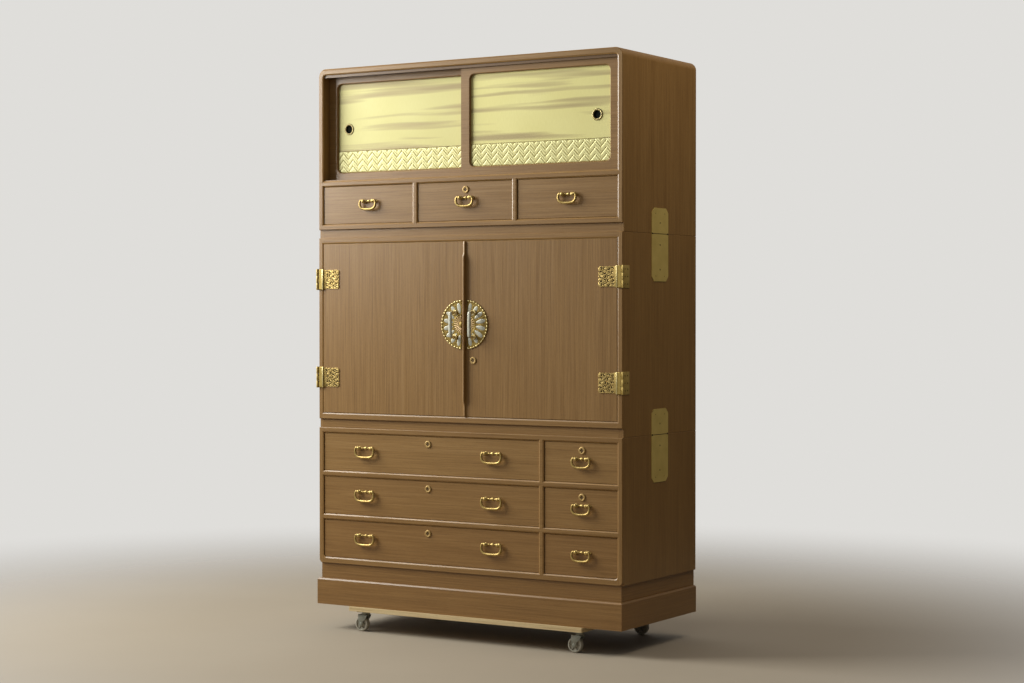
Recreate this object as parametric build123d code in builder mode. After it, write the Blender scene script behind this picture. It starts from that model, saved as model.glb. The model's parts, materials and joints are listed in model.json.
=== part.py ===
from build123d import *
import os

# Isho clothing chest (isho-dansu): three cases stacked on a plinth, on a castered board.
# Millimetres, +Z up, front towards -Y. The origin is on the floor, under the middle of
# the whole footprint, handles included.

# ---- cases: overall --------------------------------------------------------------------
case_width = 1060
case_depth = 450
side_board = 16  # side boards, stiles and partitions
frame_proud = 7  # how far the face frame stands in front of the carcass
rail_depth = 60  # front to back, rails of the face frame
shelf_board = 8  # shelf boards behind the rails
back_board = 8
frame_bevel = 3.5  # eased front edges around the openings
edge_bevel = 1.4  # other eased front edges of cases, drawers and doors
inner_corner = 9  # rounded corners of the outermost openings
seam_bevel = 1.2
seat_gap = 0.3  # a moving piece over the board that carries it
faceted = 8  # sides of small turned pieces: posts, pins, their bores, bars and locks
bail_sides = 6

# ---- top case, from its seam upwards ---------------------------------------------------
top_band = 25.5
top_bottom_rail = 16
small_drawer_opening = 115
sill_rail = 17
slide_opening = 323
top_board = 18.5
top_corner = 24
partition_at = 174

# ---- middle case, from its seam upwards ------------------------------------------------
middle_band = 26.5
middle_bottom_rail = 18
door_opening = 516
middle_top_rail = 17

# ---- lower case, from the neck upwards -------------------------------------------------
lower_bottom_rail = 18
drawer_opening = 115.5
drawer_rows = 3
drawer_rail = 17
lower_top_rail = 16
lower_corner = 12
lower_partition_at = 264.5

# ---- neck and plinth -------------------------------------------------------------------
neck_height = 47
neck_recess = 6
plinth_height = 78.5
plinth_proud = 7
plinth_side_proud = 2
plinth_board = 20
plinth_bevel = 4

# ---- castered board --------------------------------------------------------------------
base_board_width = 815
base_board_thickness = 13
base_board_front = 15  # how far its front edge stands in front of the face frame
base_board_depth = 445
base_board_corner = 2
caster_height = 62
caster_from_left = 45.5  # swivel axes from the board's left end
caster_from_right = 21.5  # and from its right end
caster_front = 12  # swivel axis behind the face frame, front pair
caster_rear = 404  # and the rear pair
caster_trail = 13
caster_plate = 40
caster_plate_thickness = 2.5
kingpin_radius = 4
wheel_radius = 22.5
wheel_width = 17
wheel_facets = 48
axle_radius = 3
fork_sheet = 2
fork_head_radius = 12
fork_head_height = 8
fork_boss_radius = 7
fork_boss_facets = 16
running_gap = 0.3  # radial and end play of pins, axles and kingpins
wheel_side_gap = 1

# ---- drawers ---------------------------------------------------------------------------
drawer_front = 20
drawer_board = 9
drawer_bottom = 6
drawer_bottom_raise = 3
drawer_recess = 4  # drawer face behind the frame's face
drawer_gap = 0.8  # beside and above a drawer front
drawer_side_drop = 5  # drawer sides lower than the front
drawer_corner = 8.6  # lowest drawers, where the opening is rounded
drawer_behind = 12  # air behind a closed drawer

# ---- drawer handles and locks ----------------------------------------------------------
handle_rise = 14.5  # bail pin above a wide drawer's middle
small_handle_rise = 10  # and above a small drawer's
small_fitting_shift = 5  # how far a small drawer's fittings sit right of its middle
post_from_end = 13.5  # post axis from the bail's outer end
post_radius = 3.6
post_length = 13
post_tip = 3.5  # pin axis behind the post's end
backplate_length = 62
backplate_height = 10
backplate_thickness = 1.5
bail_width = 72
bail_drop = 28
small_bail_width = 62
small_bail_drop = 25
bail_thickness = 5
bail_shoulder = 6
bail_corner = 13
bail_pin_radius = 1.4
wide_handle_at = 227  # handle from the middle of a wide drawer
lock_radius = 11.5
lock_thickness = 2.5
lock_core_radius = 6
lock_core_thickness = 1.5
lock_rise = 34  # lock above the drawer's middle

# ---- hinged doors ----------------------------------------------------------------------
door_thickness = 20
door_recess = 0.5
door_gap = 0.8
meeting_gap = 1.2
rib_width = 6.4
rib_proud = 11
rib_end_proud = 5.5
rib_end_length = 38
hinge_from_end = 108
hinge_height = 64
hinge_leaf = 1.8
hinge_lace_width = 54  # pierced part of the leaf, on the door
hinge_lace_height = 58
hinge_block_width = 23  # plain part of the leaf, over the stile
hinge_block_thickness = 4.2
hinge_side_leaf = 38
barrel_radius = 3.5
barrel_knuckles = 3
knuckle_gap = 0.4
hinge_pin_radius = 1.5
pull_radius = 72
pull_plate_thickness = 2
pull_plate_gap = 5.4  # between the rib and each half disc
pull_rise = 13  # pull centre above the door's middle
pull_facets = 64
handle_from_edge = 24
handle_length = 72  # between the posts
handle_overhang = 5
handle_stand = 26
handle_radius = 3.6
handle_post_radius = 2.8
rosette_radius = 7.5
rosette_height = 4
door_lock_at = 33
door_lock_drop = 104.5  # lock below the pull's centre

# ---- sliding doors ---------------------------------------------------------------------
sliding_overlap = 34
sliding_thickness = 16
sliding_stile = 30.5
sliding_top_rail = 25
sliding_bottom_rail = 26.5
sliding_bevel = 2.5
sliding_corner = 15
sliding_end_gap = 0.6
front_track = 12
track_rib = 3
sill_rib_height = 3
head_rib_height = 8
head_gap = 2.2
track_gap = 0.5
panel_thickness = 3
panel_inset = 8
panel_fit = 0.1
woven_band_height = 64.5
woven_band_thickness = 1
round_pull_radius = 14
round_pull_cup = 10
round_pull_floor = 1
round_pull_flange = 1.2
round_pull_facets = 24
left_pull_from_edge = 39  # pull centre from the panel's outer edge
right_pull_from_edge = 45
round_pull_drop = 3  # and below the panel's middle

# ---- trays and side plates -------------------------------------------------------------
tray_count = 4
tray_height = 45
tray_front_height = 30
tray_board = 8
tray_bottom = 5
tray_side_gap = 3
tray_setback = 30  # tray front behind the doors
batten_height = 12
batten_width = 14
seam_plate_width = 100
seam_plate_upper = 74
seam_plate_lower = 137
seam_plate_thickness = 1.5
seam_plate_at = 221  # plate centre behind the face frame
seam_plate_clip = 14
seam_plate_gap = 0.5

# ---- places worked out from the sizes --------------------------------------------------
half_width = case_width / 2
inner = half_width - side_board
handle_reach = handle_stand + handle_radius
front = (handle_reach - case_depth) / 2  # Y of the face frame
carcass = front + frame_proud
back = front + case_depth
inner_back = back - back_board

plinth_z = caster_height + base_board_thickness
neck_z = plinth_z + plinth_height
lower_z = neck_z + neck_height
row_pitch = drawer_opening + drawer_rail
lower_first_row = lower_z + lower_bottom_rail
middle_z = lower_first_row + drawer_rows * row_pitch - drawer_rail + lower_top_rail
middle_frame_z = middle_z + middle_band
door_z = middle_frame_z + middle_bottom_rail
top_z = door_z + door_opening + middle_top_rail
top_frame_z = top_z + top_band
small_drawer_z = top_frame_z + top_bottom_rail
sill_z = small_drawer_z + small_drawer_opening + sill_rail
head_z = sill_z + slide_opening
chest_top = head_z + top_board

os.makedirs("parts", exist_ok=True)


def write(name, pieces):
    """Write the separate solids of one sub-part as one labelled STEP file."""
    solids = [solid for piece in pieces for solid in piece.solids()]
    group = Compound(label=name, children=solids)
    export_step(group, f"parts/{name}.step")


def middle(span):
    return (span[0] + span[1]) / 2


def length(span):
    return span[1] - span[0]


def bore(radius, mode=Mode.SUBTRACT):
    """A faceted bore that clears a faceted pin of this radius by the running gap."""
    return RegularPolygon(radius + running_gap, faceted, major_radius=False, mode=mode)


def plank(x, y, z, bevel=0, round_side=0):
    """A board between two limits on each axis, perhaps with one low edge rounded."""
    with BuildPart() as piece:
        with Locations((middle(x), middle(y), middle(z))):
            Box(length(x), length(y), length(z))
        if round_side:
            low_edges = piece.edges().filter_by(Axis.Y).group_by(Axis.Z)[0].sort_by(Axis.X)
            fillet(low_edges[-1 if round_side > 0 else 0], drawer_corner)
        if bevel:
            chamfer(piece.faces().sort_by(Axis.Y)[0].edges(), bevel)
    return piece.part


def face_block(outline_z, openings, low_radius=0, high_radius=0, rounded=()):
    """The whole front of a case as one block, from which its boards are cut."""
    with BuildPart() as block:
        with BuildSketch(Plane.XZ.offset(-back)) as outline:
            with Locations((0, middle(outline_z))):
                Rectangle(case_width, length(outline_z))
            if high_radius:
                fillet(outline.vertices().group_by(Axis.Y)[-1], high_radius)
            if low_radius:
                fillet(outline.vertices().group_by(Axis.Y)[0], low_radius)
            for x, z in openings:
                with Locations((middle(x), middle(z))):
                    Rectangle(length(x), length(z), mode=Mode.SUBTRACT)
            if rounded:
                corners = [outline.vertices().sort_by_distance((x, z, 0))[0] for x, z in rounded]
                fillet(corners, inner_corner)
        extrude(amount=case_depth)
        face = block.faces().sort_by(Axis.Y)[0]
        chamfer([edge for wire in face.inner_wires() for edge in wire.edges()], frame_bevel)
        chamfer(block.faces().sort_by(Axis.Y)[0].outer_wire().edges(), edge_bevel)
    return block.part


def board(block, *boxes):
    """The board that a block leaves inside these boxes."""
    with BuildPart() as piece:
        for x, y, z in boxes:
            with Locations((middle(x), middle(y), middle(z))):
                Box(length(x), length(y), length(z))
        add(block, mode=Mode.INTERSECT)
    return piece.part


def rail(block, z, x=None):
    """A rail of a face frame, between the stiles, and the shelf board behind it."""
    x = x or (-inner, inner)
    shelf = (z[1] - shelf_board, z[1])
    return [
        board(block, (x, (front, front + rail_depth), z)),
        plank(x, (front + rail_depth, inner_back), shelf),
    ]


def stile(block, sign, z, corner_z=None):
    """An upright of a face frame, with the rounding of its opening's corner."""
    y = (front, carcass)
    boxes = [(sorted((sign * inner, sign * half_width)), y, z)]
    if corner_z:
        boxes.append((sorted((sign * (inner - inner_corner), sign * inner)), y, corner_z))
    return board(block, *boxes)


def ease_seams(side, sign, low=False, high=False):
    """A side board with its outer edge eased where another case meets it."""
    with BuildPart() as piece:
        add(side)
        levels = piece.edges().filter_by(Axis.Y).group_by(Axis.Z)
        seams = ([levels[0]] if low else []) + ([levels[-1]] if high else [])
        chamfer([level.sort_by(Axis.X)[-1 if sign > 0 else 0] for level in seams], seam_bevel)
    return piece.part


def outlined_plank(x, y, z, outline_z, low_radius=0, high_radius=0):
    """A board cut to the rounded outline of a case's front."""
    with BuildPart() as piece:
        with BuildSketch(Plane.XZ.offset(-y[1])) as face:
            with Locations((0, middle(outline_z))):
                Rectangle(case_width, length(outline_z))
            if high_radius:
                fillet(face.vertices().group_by(Axis.Y)[-1], high_radius)
            if low_radius:
                fillet(face.vertices().group_by(Axis.Y)[0], low_radius)
            with Locations((middle(x), middle(z))):
                Rectangle(length(x), length(z), mode=Mode.INTERSECT)
        extrude(amount=length(y))
    return piece.part


def both_sides(x):
    """The same span on the left and on the right of the middle plane."""
    return [(-x[1], -x[0]), x]


# ---- top case ----------------------------------------------------------------------------
partition_x = (partition_at - side_board / 2, partition_at + side_board / 2)
small_drawer_x = [(-inner, -partition_x[1]), (-partition_x[0], partition_x[0]),
                  (partition_x[1], inner)]
small_drawer_span = (small_drawer_z, sill_z - sill_rail)
top_block = face_block(
    (top_frame_z, chest_top),
    [(x, small_drawer_span) for x in small_drawer_x] + [((-inner, inner), (sill_z, head_z))],
    high_radius=top_corner, rounded=[(-inner, head_z), (inner, head_z)],
)
top_case = [
    board(top_block, ((-half_width, half_width), (front, back), (head_z, chest_top))),
    plank((-inner, inner), (carcass, carcass + side_board), (top_z, top_frame_z)),
    plank((-inner, inner), (inner_back, back), (top_z, head_z)),
]
for sign in (-1, 1):
    x = sorted((sign * inner, sign * half_width))
    side = outlined_plank(x, (carcass, back), (top_z, head_z), (top_z, chest_top),
                          high_radius=top_corner)
    top_case.append(ease_seams(side, sign, low=True))
    top_case.append(stile(top_block, sign, (top_frame_z, head_z), (head_z - inner_corner, head_z)))
    between = sorted((sign * partition_x[0], sign * partition_x[1]))
    top_case.append(board(top_block, (between, (front, inner_back), small_drawer_span)))
top_case += rail(top_block, (top_frame_z, small_drawer_z))
top_case += rail(top_block, (sill_z - sill_rail, sill_z))

# The two sliding doors run in channels between three ribs, on the sill and under the top.
rear_track = front_track + sliding_thickness + track_rib + 2 * track_gap
track_ribs = [
    (front_track - track_gap - 2 * track_rib, front_track - track_gap),
    (rear_track - track_gap - track_rib, rear_track - track_gap),
    (rear_track + sliding_thickness + track_gap,
     rear_track + sliding_thickness + track_gap + 2 * track_rib),
]
for near, far in track_ribs:
    y = (front + near, front + far)
    top_case.append(plank((-inner, inner), y, (sill_z, sill_z + sill_rib_height)))
    top_case.append(plank((-inner, inner), y, (head_z - head_rib_height, head_z)))
write("top_case", top_case)

# ---- middle case -------------------------------------------------------------------------
middle_block = face_block((middle_frame_z, top_z),
                          [((-inner, inner), (door_z, door_z + door_opening))])
middle_case = [
    plank((-inner, inner), (carcass, carcass + side_board), (middle_z, middle_frame_z)),
    plank((-inner, inner), (inner_back, back), (middle_z, top_z)),
]
for sign in (-1, 1):
    x = sorted((sign * inner, sign * half_width))
    middle_case.append(ease_seams(plank(x, (carcass, back), (middle_z, top_z)), sign, True, True))
    middle_case.append(stile(middle_block, sign, (middle_frame_z, top_z)))
middle_case += rail(middle_block, (middle_frame_z, door_z))
middle_case += rail(middle_block, (door_z + door_opening, top_z))

# Battens on the sides carry the trays; the lowest tray lies on the bottom shelf.
tray_pitch = door_opening / tray_count
tray_y = (front + door_recess + door_thickness + tray_setback, inner_back - tray_side_gap)
for level in range(1, tray_count):
    tray_z = door_z + level * tray_pitch
    for x in both_sides((inner - batten_width, inner)):
        middle_case.append(plank(x, tray_y, (tray_z - batten_height, tray_z)))
write("middle_case", middle_case)

# ---- kimono trays ------------------------------------------------------------------------
trays = []
tray_half = inner - tray_side_gap
tray_inner_y = (tray_y[0] + tray_board, tray_y[1] - tray_board)
for level in range(tray_count):
    z = door_z + level * tray_pitch
    wall = (z, z + tray_height)
    across = (-tray_half + tray_board, tray_half - tray_board)
    trays.append(plank(across, tray_inner_y, (z, z + tray_bottom)))
    trays.append(plank(across, (tray_y[0], tray_inner_y[0]), (z, z + tray_front_height)))
    trays.append(plank(across, (tray_inner_y[1], tray_y[1]), wall))
    for x in both_sides((tray_half - tray_board, tray_half)):
        trays.append(plank(x, tray_y, wall))
write("kimono_trays", trays)

# ---- lower case --------------------------------------------------------------------------
lower_partition_x = (lower_partition_at - side_board / 2, lower_partition_at + side_board / 2)
lower_bays = [(-inner, lower_partition_x[0]), (lower_partition_x[1], inner)]
row_floors = [lower_first_row + row * row_pitch for row in range(drawer_rows)]
lower_block = face_block(
    (lower_z, middle_z),
    [(x, (row_z, row_z + drawer_opening)) for row_z in row_floors for x in lower_bays],
    low_radius=lower_corner, rounded=[(-inner, lower_first_row), (inner, lower_first_row)],
)
lower_case = [plank((-inner, inner), (inner_back, back), (lower_z, middle_z))]
for sign in (-1, 1):
    x = sorted((sign * inner, sign * half_width))
    side = plank(x, (carcass, back), (lower_z, middle_z))
    lower_case.append(ease_seams(side, sign, high=True))
    lower_case.append(stile(lower_block, sign, (lower_z, middle_z),
                            (lower_first_row, lower_first_row + inner_corner)))
lower_case += rail(lower_block, (lower_z, lower_first_row))
lower_case += rail(lower_block, (middle_z - lower_top_rail, middle_z))
for row_z in row_floors[1:]:
    for x in lower_bays:
        lower_case += rail(lower_block, (row_z - drawer_rail, row_z), x)
lower_case.append(board(lower_block, (lower_partition_x, (front, inner_back),
                                      (lower_first_row, middle_z - lower_top_rail))))
write("lower_case", lower_case)


# ---- neck and plinth ---------------------------------------------------------------------
def board_ring(half, y, z, bevel=0):
    """Four upright boards in a rectangle; the front and side boards' top edges are eased."""
    pieces = []
    for y_span in [(y[0], y[0] + plinth_board), (y[1] - plinth_board, y[1])]:
        with BuildPart() as across:
            with Locations((0, middle(y_span), middle(z))):
                Box(2 * half, length(y_span), length(z))
            if bevel:
                top_edges = across.edges().group_by(Axis.Z)[-1]
                eased = top_edges.filter_by(Axis.Y)
                if y_span[0] == y[0]:
                    eased = eased + top_edges.sort_by(Axis.Y)[0:1]
                chamfer(eased, bevel)
        pieces.append(across.part)
    for sign in (-1, 1):
        with BuildPart() as side:
            with Locations((sign * (half - plinth_board / 2), middle(y), middle(z))):
                Box(plinth_board, length(y) - 2 * plinth_board, length(z))
            if bevel:
                outer = side.edges().group_by(Axis.Z)[-1].sort_by(Axis.X)[-1 if sign > 0 else 0]
                chamfer(outer, bevel)
        pieces.append(side.part)
    return pieces


plinth = board_ring(half_width - neck_recess, (front + neck_recess, back), (neck_z, lower_z))
plinth += board_ring(half_width + plinth_side_proud, (front - plinth_proud, back),
                     (plinth_z, neck_z), plinth_bevel)
write("plinth", plinth)

# ---- brass plates across the seams -------------------------------------------------------
seam_plates = []
for seam_z in (middle_z, top_z):
    for z, outer_end in [
        ((seam_z + seam_plate_gap, seam_z + seam_plate_upper), -1),
        ((seam_z - seam_plate_lower, seam_z - seam_plate_gap), 0),
    ]:
        for sign in (-1, 1):
            with BuildPart() as plate:
                with Locations((sign * (half_width + seam_plate_thickness / 2),
                                front + seam_plate_at, middle(z))):
                    Box(seam_plate_thickness, seam_plate_width, length(z))
                ends = plate.edges().filter_by(Axis.X).group_by(Axis.Z)[outer_end]
                chamfer(ends, seam_plate_clip)
            seam_plates.append(plate.part)
write("seam_plates", seam_plates)


# ---- drawers -----------------------------------------------------------------------------
def drawer(name, x, floor_z, opening, round_side=0):
    """A drawer box in its opening: front, two sides, back and bottom board."""
    outer = (x[0] + drawer_gap, x[1] - drawer_gap)
    z = (floor_z + seat_gap, floor_z + opening - drawer_gap)
    face = front + drawer_recess
    box_y = (face + drawer_front, inner_back - drawer_behind)
    box_z = (z[0], z[1] - drawer_side_drop)
    between = (outer[0] + drawer_board, outer[1] - drawer_board)
    bottom_z = (z[0] + drawer_bottom_raise, z[0] + drawer_bottom_raise + drawer_bottom)
    write(name, [
        plank(outer, (face, face + drawer_front), z, edge_bevel, round_side),
        plank((outer[0], between[0]), box_y, box_z, round_side=min(round_side, 0)),
        plank((between[1], outer[1]), box_y, box_z, round_side=max(round_side, 0)),
        plank(between, (box_y[1] - drawer_board, box_y[1]), box_z),
        plank(between, (box_y[0], box_y[1] - drawer_board), bottom_z),
    ])


def lock_disc(x, face, z):
    """A round lock: an escutcheon with its raised keyhole core."""
    with BuildPart() as lock:
        with BuildSketch(Plane.XZ.offset(-face)):
            with Locations((x, z)):
                RegularPolygon(lock_radius, faceted)
        extrude(amount=lock_thickness)
        with BuildSketch(Plane.XZ.offset(-face + lock_thickness)):
            with Locations((x, z)):
                RegularPolygon(lock_core_radius, faceted)
        extrude(amount=lock_core_thickness)
    return lock.part


def handle_base(x, z, width):
    """The backplate of a drawer handle with its two bored posts, for a bail of this width."""
    face = front + drawer_recess
    pin_y = face - post_length + post_tip
    post_at = width / 2 - post_from_end
    posts = [(x - post_at, z), (x + post_at, z)]
    with BuildPart() as base:
        with BuildSketch(Plane.XZ.offset(-face)) as backplate:
            with Locations((x, z)):
                Rectangle(backplate_length, backplate_height)
            chamfer(backplate.vertices(), backplate_height / 4)
        extrude(amount=backplate_thickness)
        with BuildSketch(Plane.XZ.offset(-face)):
            with Locations(*posts):
                RegularPolygon(post_radius, faceted, rotation=180 / faceted)
        extrude(amount=post_length)
        with BuildSketch(Plane.YZ.offset(x - width / 2)):
            with Locations((pin_y, z)):
                bore(bail_pin_radius, Mode.ADD)
        extrude(amount=width, mode=Mode.SUBTRACT)
    return base.part


def bail(name, x, z, width, drop):
    """A hanging bail whose ends turn in as pins through the posts."""
    pin_y = front + drawer_recess - post_length + post_tip
    half = (width - bail_thickness) / 2
    post_at = width / 2 - post_from_end
    shoulder = post_at + post_radius + running_gap
    low = z - drop
    with BuildPart() as piece:
        with BuildLine(Plane.XZ.offset(-pin_y)) as path:
            Polyline(
                (x - shoulder, z), (x - half + bail_shoulder, z), (x - half, z - bail_shoulder),
                (x - half, low + bail_corner), (x - half + bail_corner, low),
                (x + half - bail_corner, low), (x + half, low + bail_corner),
                (x + half, z - bail_shoulder), (x + half - bail_shoulder, z), (x + shoulder, z),
            )
        with BuildSketch(Plane(origin=path.line @ 0, z_dir=path.line % 0)):
            RegularPolygon(bail_thickness / 2, bail_sides)
        sweep(transition=Transition.RIGHT)
        for sign in (-1, 1):
            with BuildSketch(Plane.YZ.offset(x + sign * shoulder)):
                with Locations((pin_y, z)):
                    RegularPolygon(bail_pin_radius, faceted)
            extrude(amount=-sign * 2 * (shoulder - post_at))
    write(name, [piece.part])


locked_rows = {"top_centre", "wide_1", "wide_2", "wide_3", "side_1", "side_2"}
rounded_sides = {f"wide_{drawer_rows}": -1, f"side_{drawer_rows}": 1}
drawers = {f"top_{place}": (x, small_drawer_z)
           for place, x in zip(("left", "centre", "right"), small_drawer_x)}
for row, row_z in enumerate(reversed(row_floors), start=1):
    drawers[f"wide_{row}"] = (lower_bays[0], row_z)
    drawers[f"side_{row}"] = (lower_bays[1], row_z)

for key, (x, floor_z) in drawers.items():
    opening = small_drawer_opening if key.startswith("top") else drawer_opening
    drawer(f"{key}_drawer", x, floor_z, opening, rounded_sides.get(key, 0))
    middle_z_here = floor_z + opening / 2
    if key.startswith("wide"):
        lock_x = middle(x)
        places = {"_left": middle(x) - wide_handle_at, "_right": middle(x) + wide_handle_at}
        rise, width, drop = handle_rise, bail_width, bail_drop
    else:
        lock_x = middle(x) + small_fitting_shift
        places = {"": lock_x}
        rise, width, drop = small_handle_rise, small_bail_width, small_bail_drop
    pin_z = middle_z_here + rise
    fittings = [handle_base(at, pin_z, width) for at in places.values()]
    if key in locked_rows:
        fittings.append(lock_disc(lock_x, front + drawer_recess, middle_z_here + lock_rise))
    write(f"{key}_handle_posts", fittings)
    for suffix, at in places.items():
        bail(f"{key}_bail{suffix}", at, pin_z, width, drop)

# ---- hinged doors ------------------------------------------------------------------------
door_face = front + door_recess
door_height = (door_z + door_gap, door_z + door_opening - door_gap)
hinge_centres = [door_height[0] + hinge_from_end, door_height[1] - hinge_from_end]
pin_x = half_width + barrel_radius
pin_y = front - barrel_radius
pull_z = middle(door_height) + pull_rise
rib_x = (meeting_gap / 2, meeting_gap / 2 + rib_width)


def knuckle_spans(centre, first):
    """Every second knuckle of a hinge barrel, from the first or the second one up."""
    pitch = hinge_height / barrel_knuckles
    low = centre - hinge_height / 2
    return [(low + i * pitch + knuckle_gap / 2, low + (i + 1) * pitch - knuckle_gap / 2)
            for i in range(first, barrel_knuckles, 2)]


def knuckle(sign, z, web_x, web_y):
    """One knuckle with the web that joins it to its leaf."""
    with BuildPart() as piece:
        with BuildSketch(Plane.XY.offset(z[0])):
            with Locations((sign * pin_x, pin_y)):
                RegularPolygon(barrel_radius, faceted)
            with Locations((sign * middle(web_x), middle(web_y))):
                Rectangle(length(web_x), length(web_y))
        extrude(amount=length(z))
    return piece.part


def door_hinge_leaf(sign, centre):
    """The door's leaf: a lace part on the door, a plain block over the stile, a bored knuckle."""
    block_x = (half_width - hinge_block_width, half_width - knuckle_gap)
    block_y = (front - seat_gap - hinge_block_thickness, front - seat_gap)
    lace_x = (block_x[0] - hinge_lace_width, block_x[0])
    web_y = (pin_y - hinge_leaf / 2, pin_y + hinge_leaf / 2)
    knuckles = [knuckle(sign, z, (block_x[1], pin_x), web_y) for z in knuckle_spans(centre, 1)]
    with BuildPart() as leaf:
        with Locations((sign * middle(block_x), middle(block_y), centre)):
            Box(length(block_x), length(block_y), hinge_height)
        with Locations((sign * middle(lace_x), door_face - hinge_leaf / 2, centre)):
            Box(length(lace_x), hinge_leaf, hinge_lace_height)
        add(knuckles)
        with BuildSketch(Plane.XY.offset(centre - hinge_height / 2)):
            with Locations((sign * pin_x, pin_y)):
                bore(hinge_pin_radius, Mode.ADD)
        extrude(amount=hinge_height, mode=Mode.SUBTRACT)
    return leaf.part


def case_hinge_leaf(sign, centre):
    """The case's leaf on the side board, with its knuckles and the pin riveted in them."""
    leaf_x = (half_width, half_width + hinge_leaf)
    leaf_y = (front + knuckle_gap, front + hinge_side_leaf)
    knuckles = [knuckle(sign, z, leaf_x, (pin_y, leaf_y[0])) for z in knuckle_spans(centre, 0)]
    with BuildPart() as leaf:
        with Locations((sign * middle(leaf_x), middle(leaf_y), centre)):
            Box(hinge_leaf, length(leaf_y), hinge_height)
        add(knuckles)
        with BuildSketch(Plane.XY.offset(centre - hinge_height / 2 + knuckle_gap)):
            with Locations((sign * pin_x, pin_y)):
                RegularPolygon(hinge_pin_radius, faceted)
        extrude(amount=hinge_height - 2 * knuckle_gap)
    return leaf.part


write("case_hinge_leaves",
      [case_hinge_leaf(sign, centre) for sign in (-1, 1) for centre in hinge_centres])


def door_pull(sign, straight_x):
    """Half of the round chrysanthemum plate, with its upright bar handle."""
    post_x = straight_x + sign * handle_from_edge
    ends = (pull_z - handle_length / 2, pull_z + handle_length / 2)
    plate_face = door_face - pull_plate_thickness
    with BuildPart() as plate:
        with BuildSketch(Plane.XZ.offset(-door_face)):
            with Locations((straight_x, pull_z)):
                RegularPolygon(pull_radius, pull_facets)
            with Locations((straight_x - sign * pull_radius, pull_z)):
                Rectangle(2 * pull_radius, 2 * pull_radius, mode=Mode.SUBTRACT)
        extrude(amount=pull_plate_thickness)
        with BuildSketch(Plane.XZ.offset(-plate_face)):
            with Locations(*[(post_x, z) for z in ends]):
                RegularPolygon(rosette_radius, faceted)
        extrude(amount=rosette_height, taper=30)
    bar_y = front - handle_stand
    with BuildPart() as handle:
        with BuildSketch(Plane.XY.offset(ends[0] - handle_overhang)):
            with Locations((post_x, bar_y)):
                RegularPolygon(handle_radius, faceted)
        extrude(amount=handle_length + 2 * handle_overhang)
        with BuildSketch(Plane.XZ.offset(-plate_face + rosette_height)):
            with Locations(*[(post_x, z) for z in ends]):
                RegularPolygon(handle_post_radius, faceted)
        extrude(amount=plate_face - rosette_height - bar_y)
    return [plate.part, handle.part]


for side, sign in (("left", -1), ("right", 1)):
    edges = sorted((sign * meeting_gap / 2, sign * (inner - door_gap)))
    write(f"{side}_door", [plank(edges, (door_face, door_face + door_thickness), door_height,
                                 edge_bevel)])
    write(f"{side}_door_hinges", [door_hinge_leaf(sign, z) for z in hinge_centres])
    straight = rib_x[0] - pull_plate_gap - meeting_gap if sign < 0 else rib_x[1] + pull_plate_gap
    pull = door_pull(sign, straight)
    if sign > 0:
        pull.append(lock_disc(door_lock_at, door_face, pull_z - door_lock_drop))
    write(f"{side}_door_pull", pull)

# The meeting rib is lower at both ends than along its middle.
with BuildPart() as meeting_rib:
    with BuildSketch(Plane.YZ.offset(rib_x[0])):
        with BuildLine():
            Polyline(
                (door_face, door_height[0]), (door_face - rib_end_proud, door_height[0]),
                (door_face - rib_end_proud, door_height[0] + rib_end_length),
                (door_face - rib_proud, door_height[0] + rib_end_length + rib_proud),
                (door_face - rib_proud, door_height[1] - rib_end_length - rib_proud),
                (door_face - rib_end_proud, door_height[1] - rib_end_length),
                (door_face - rib_end_proud, door_height[1]), (door_face, door_height[1]),
                close=True,
            )
        make_face()
    extrude(amount=rib_width)
write("meeting_rib", [meeting_rib.part])

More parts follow.
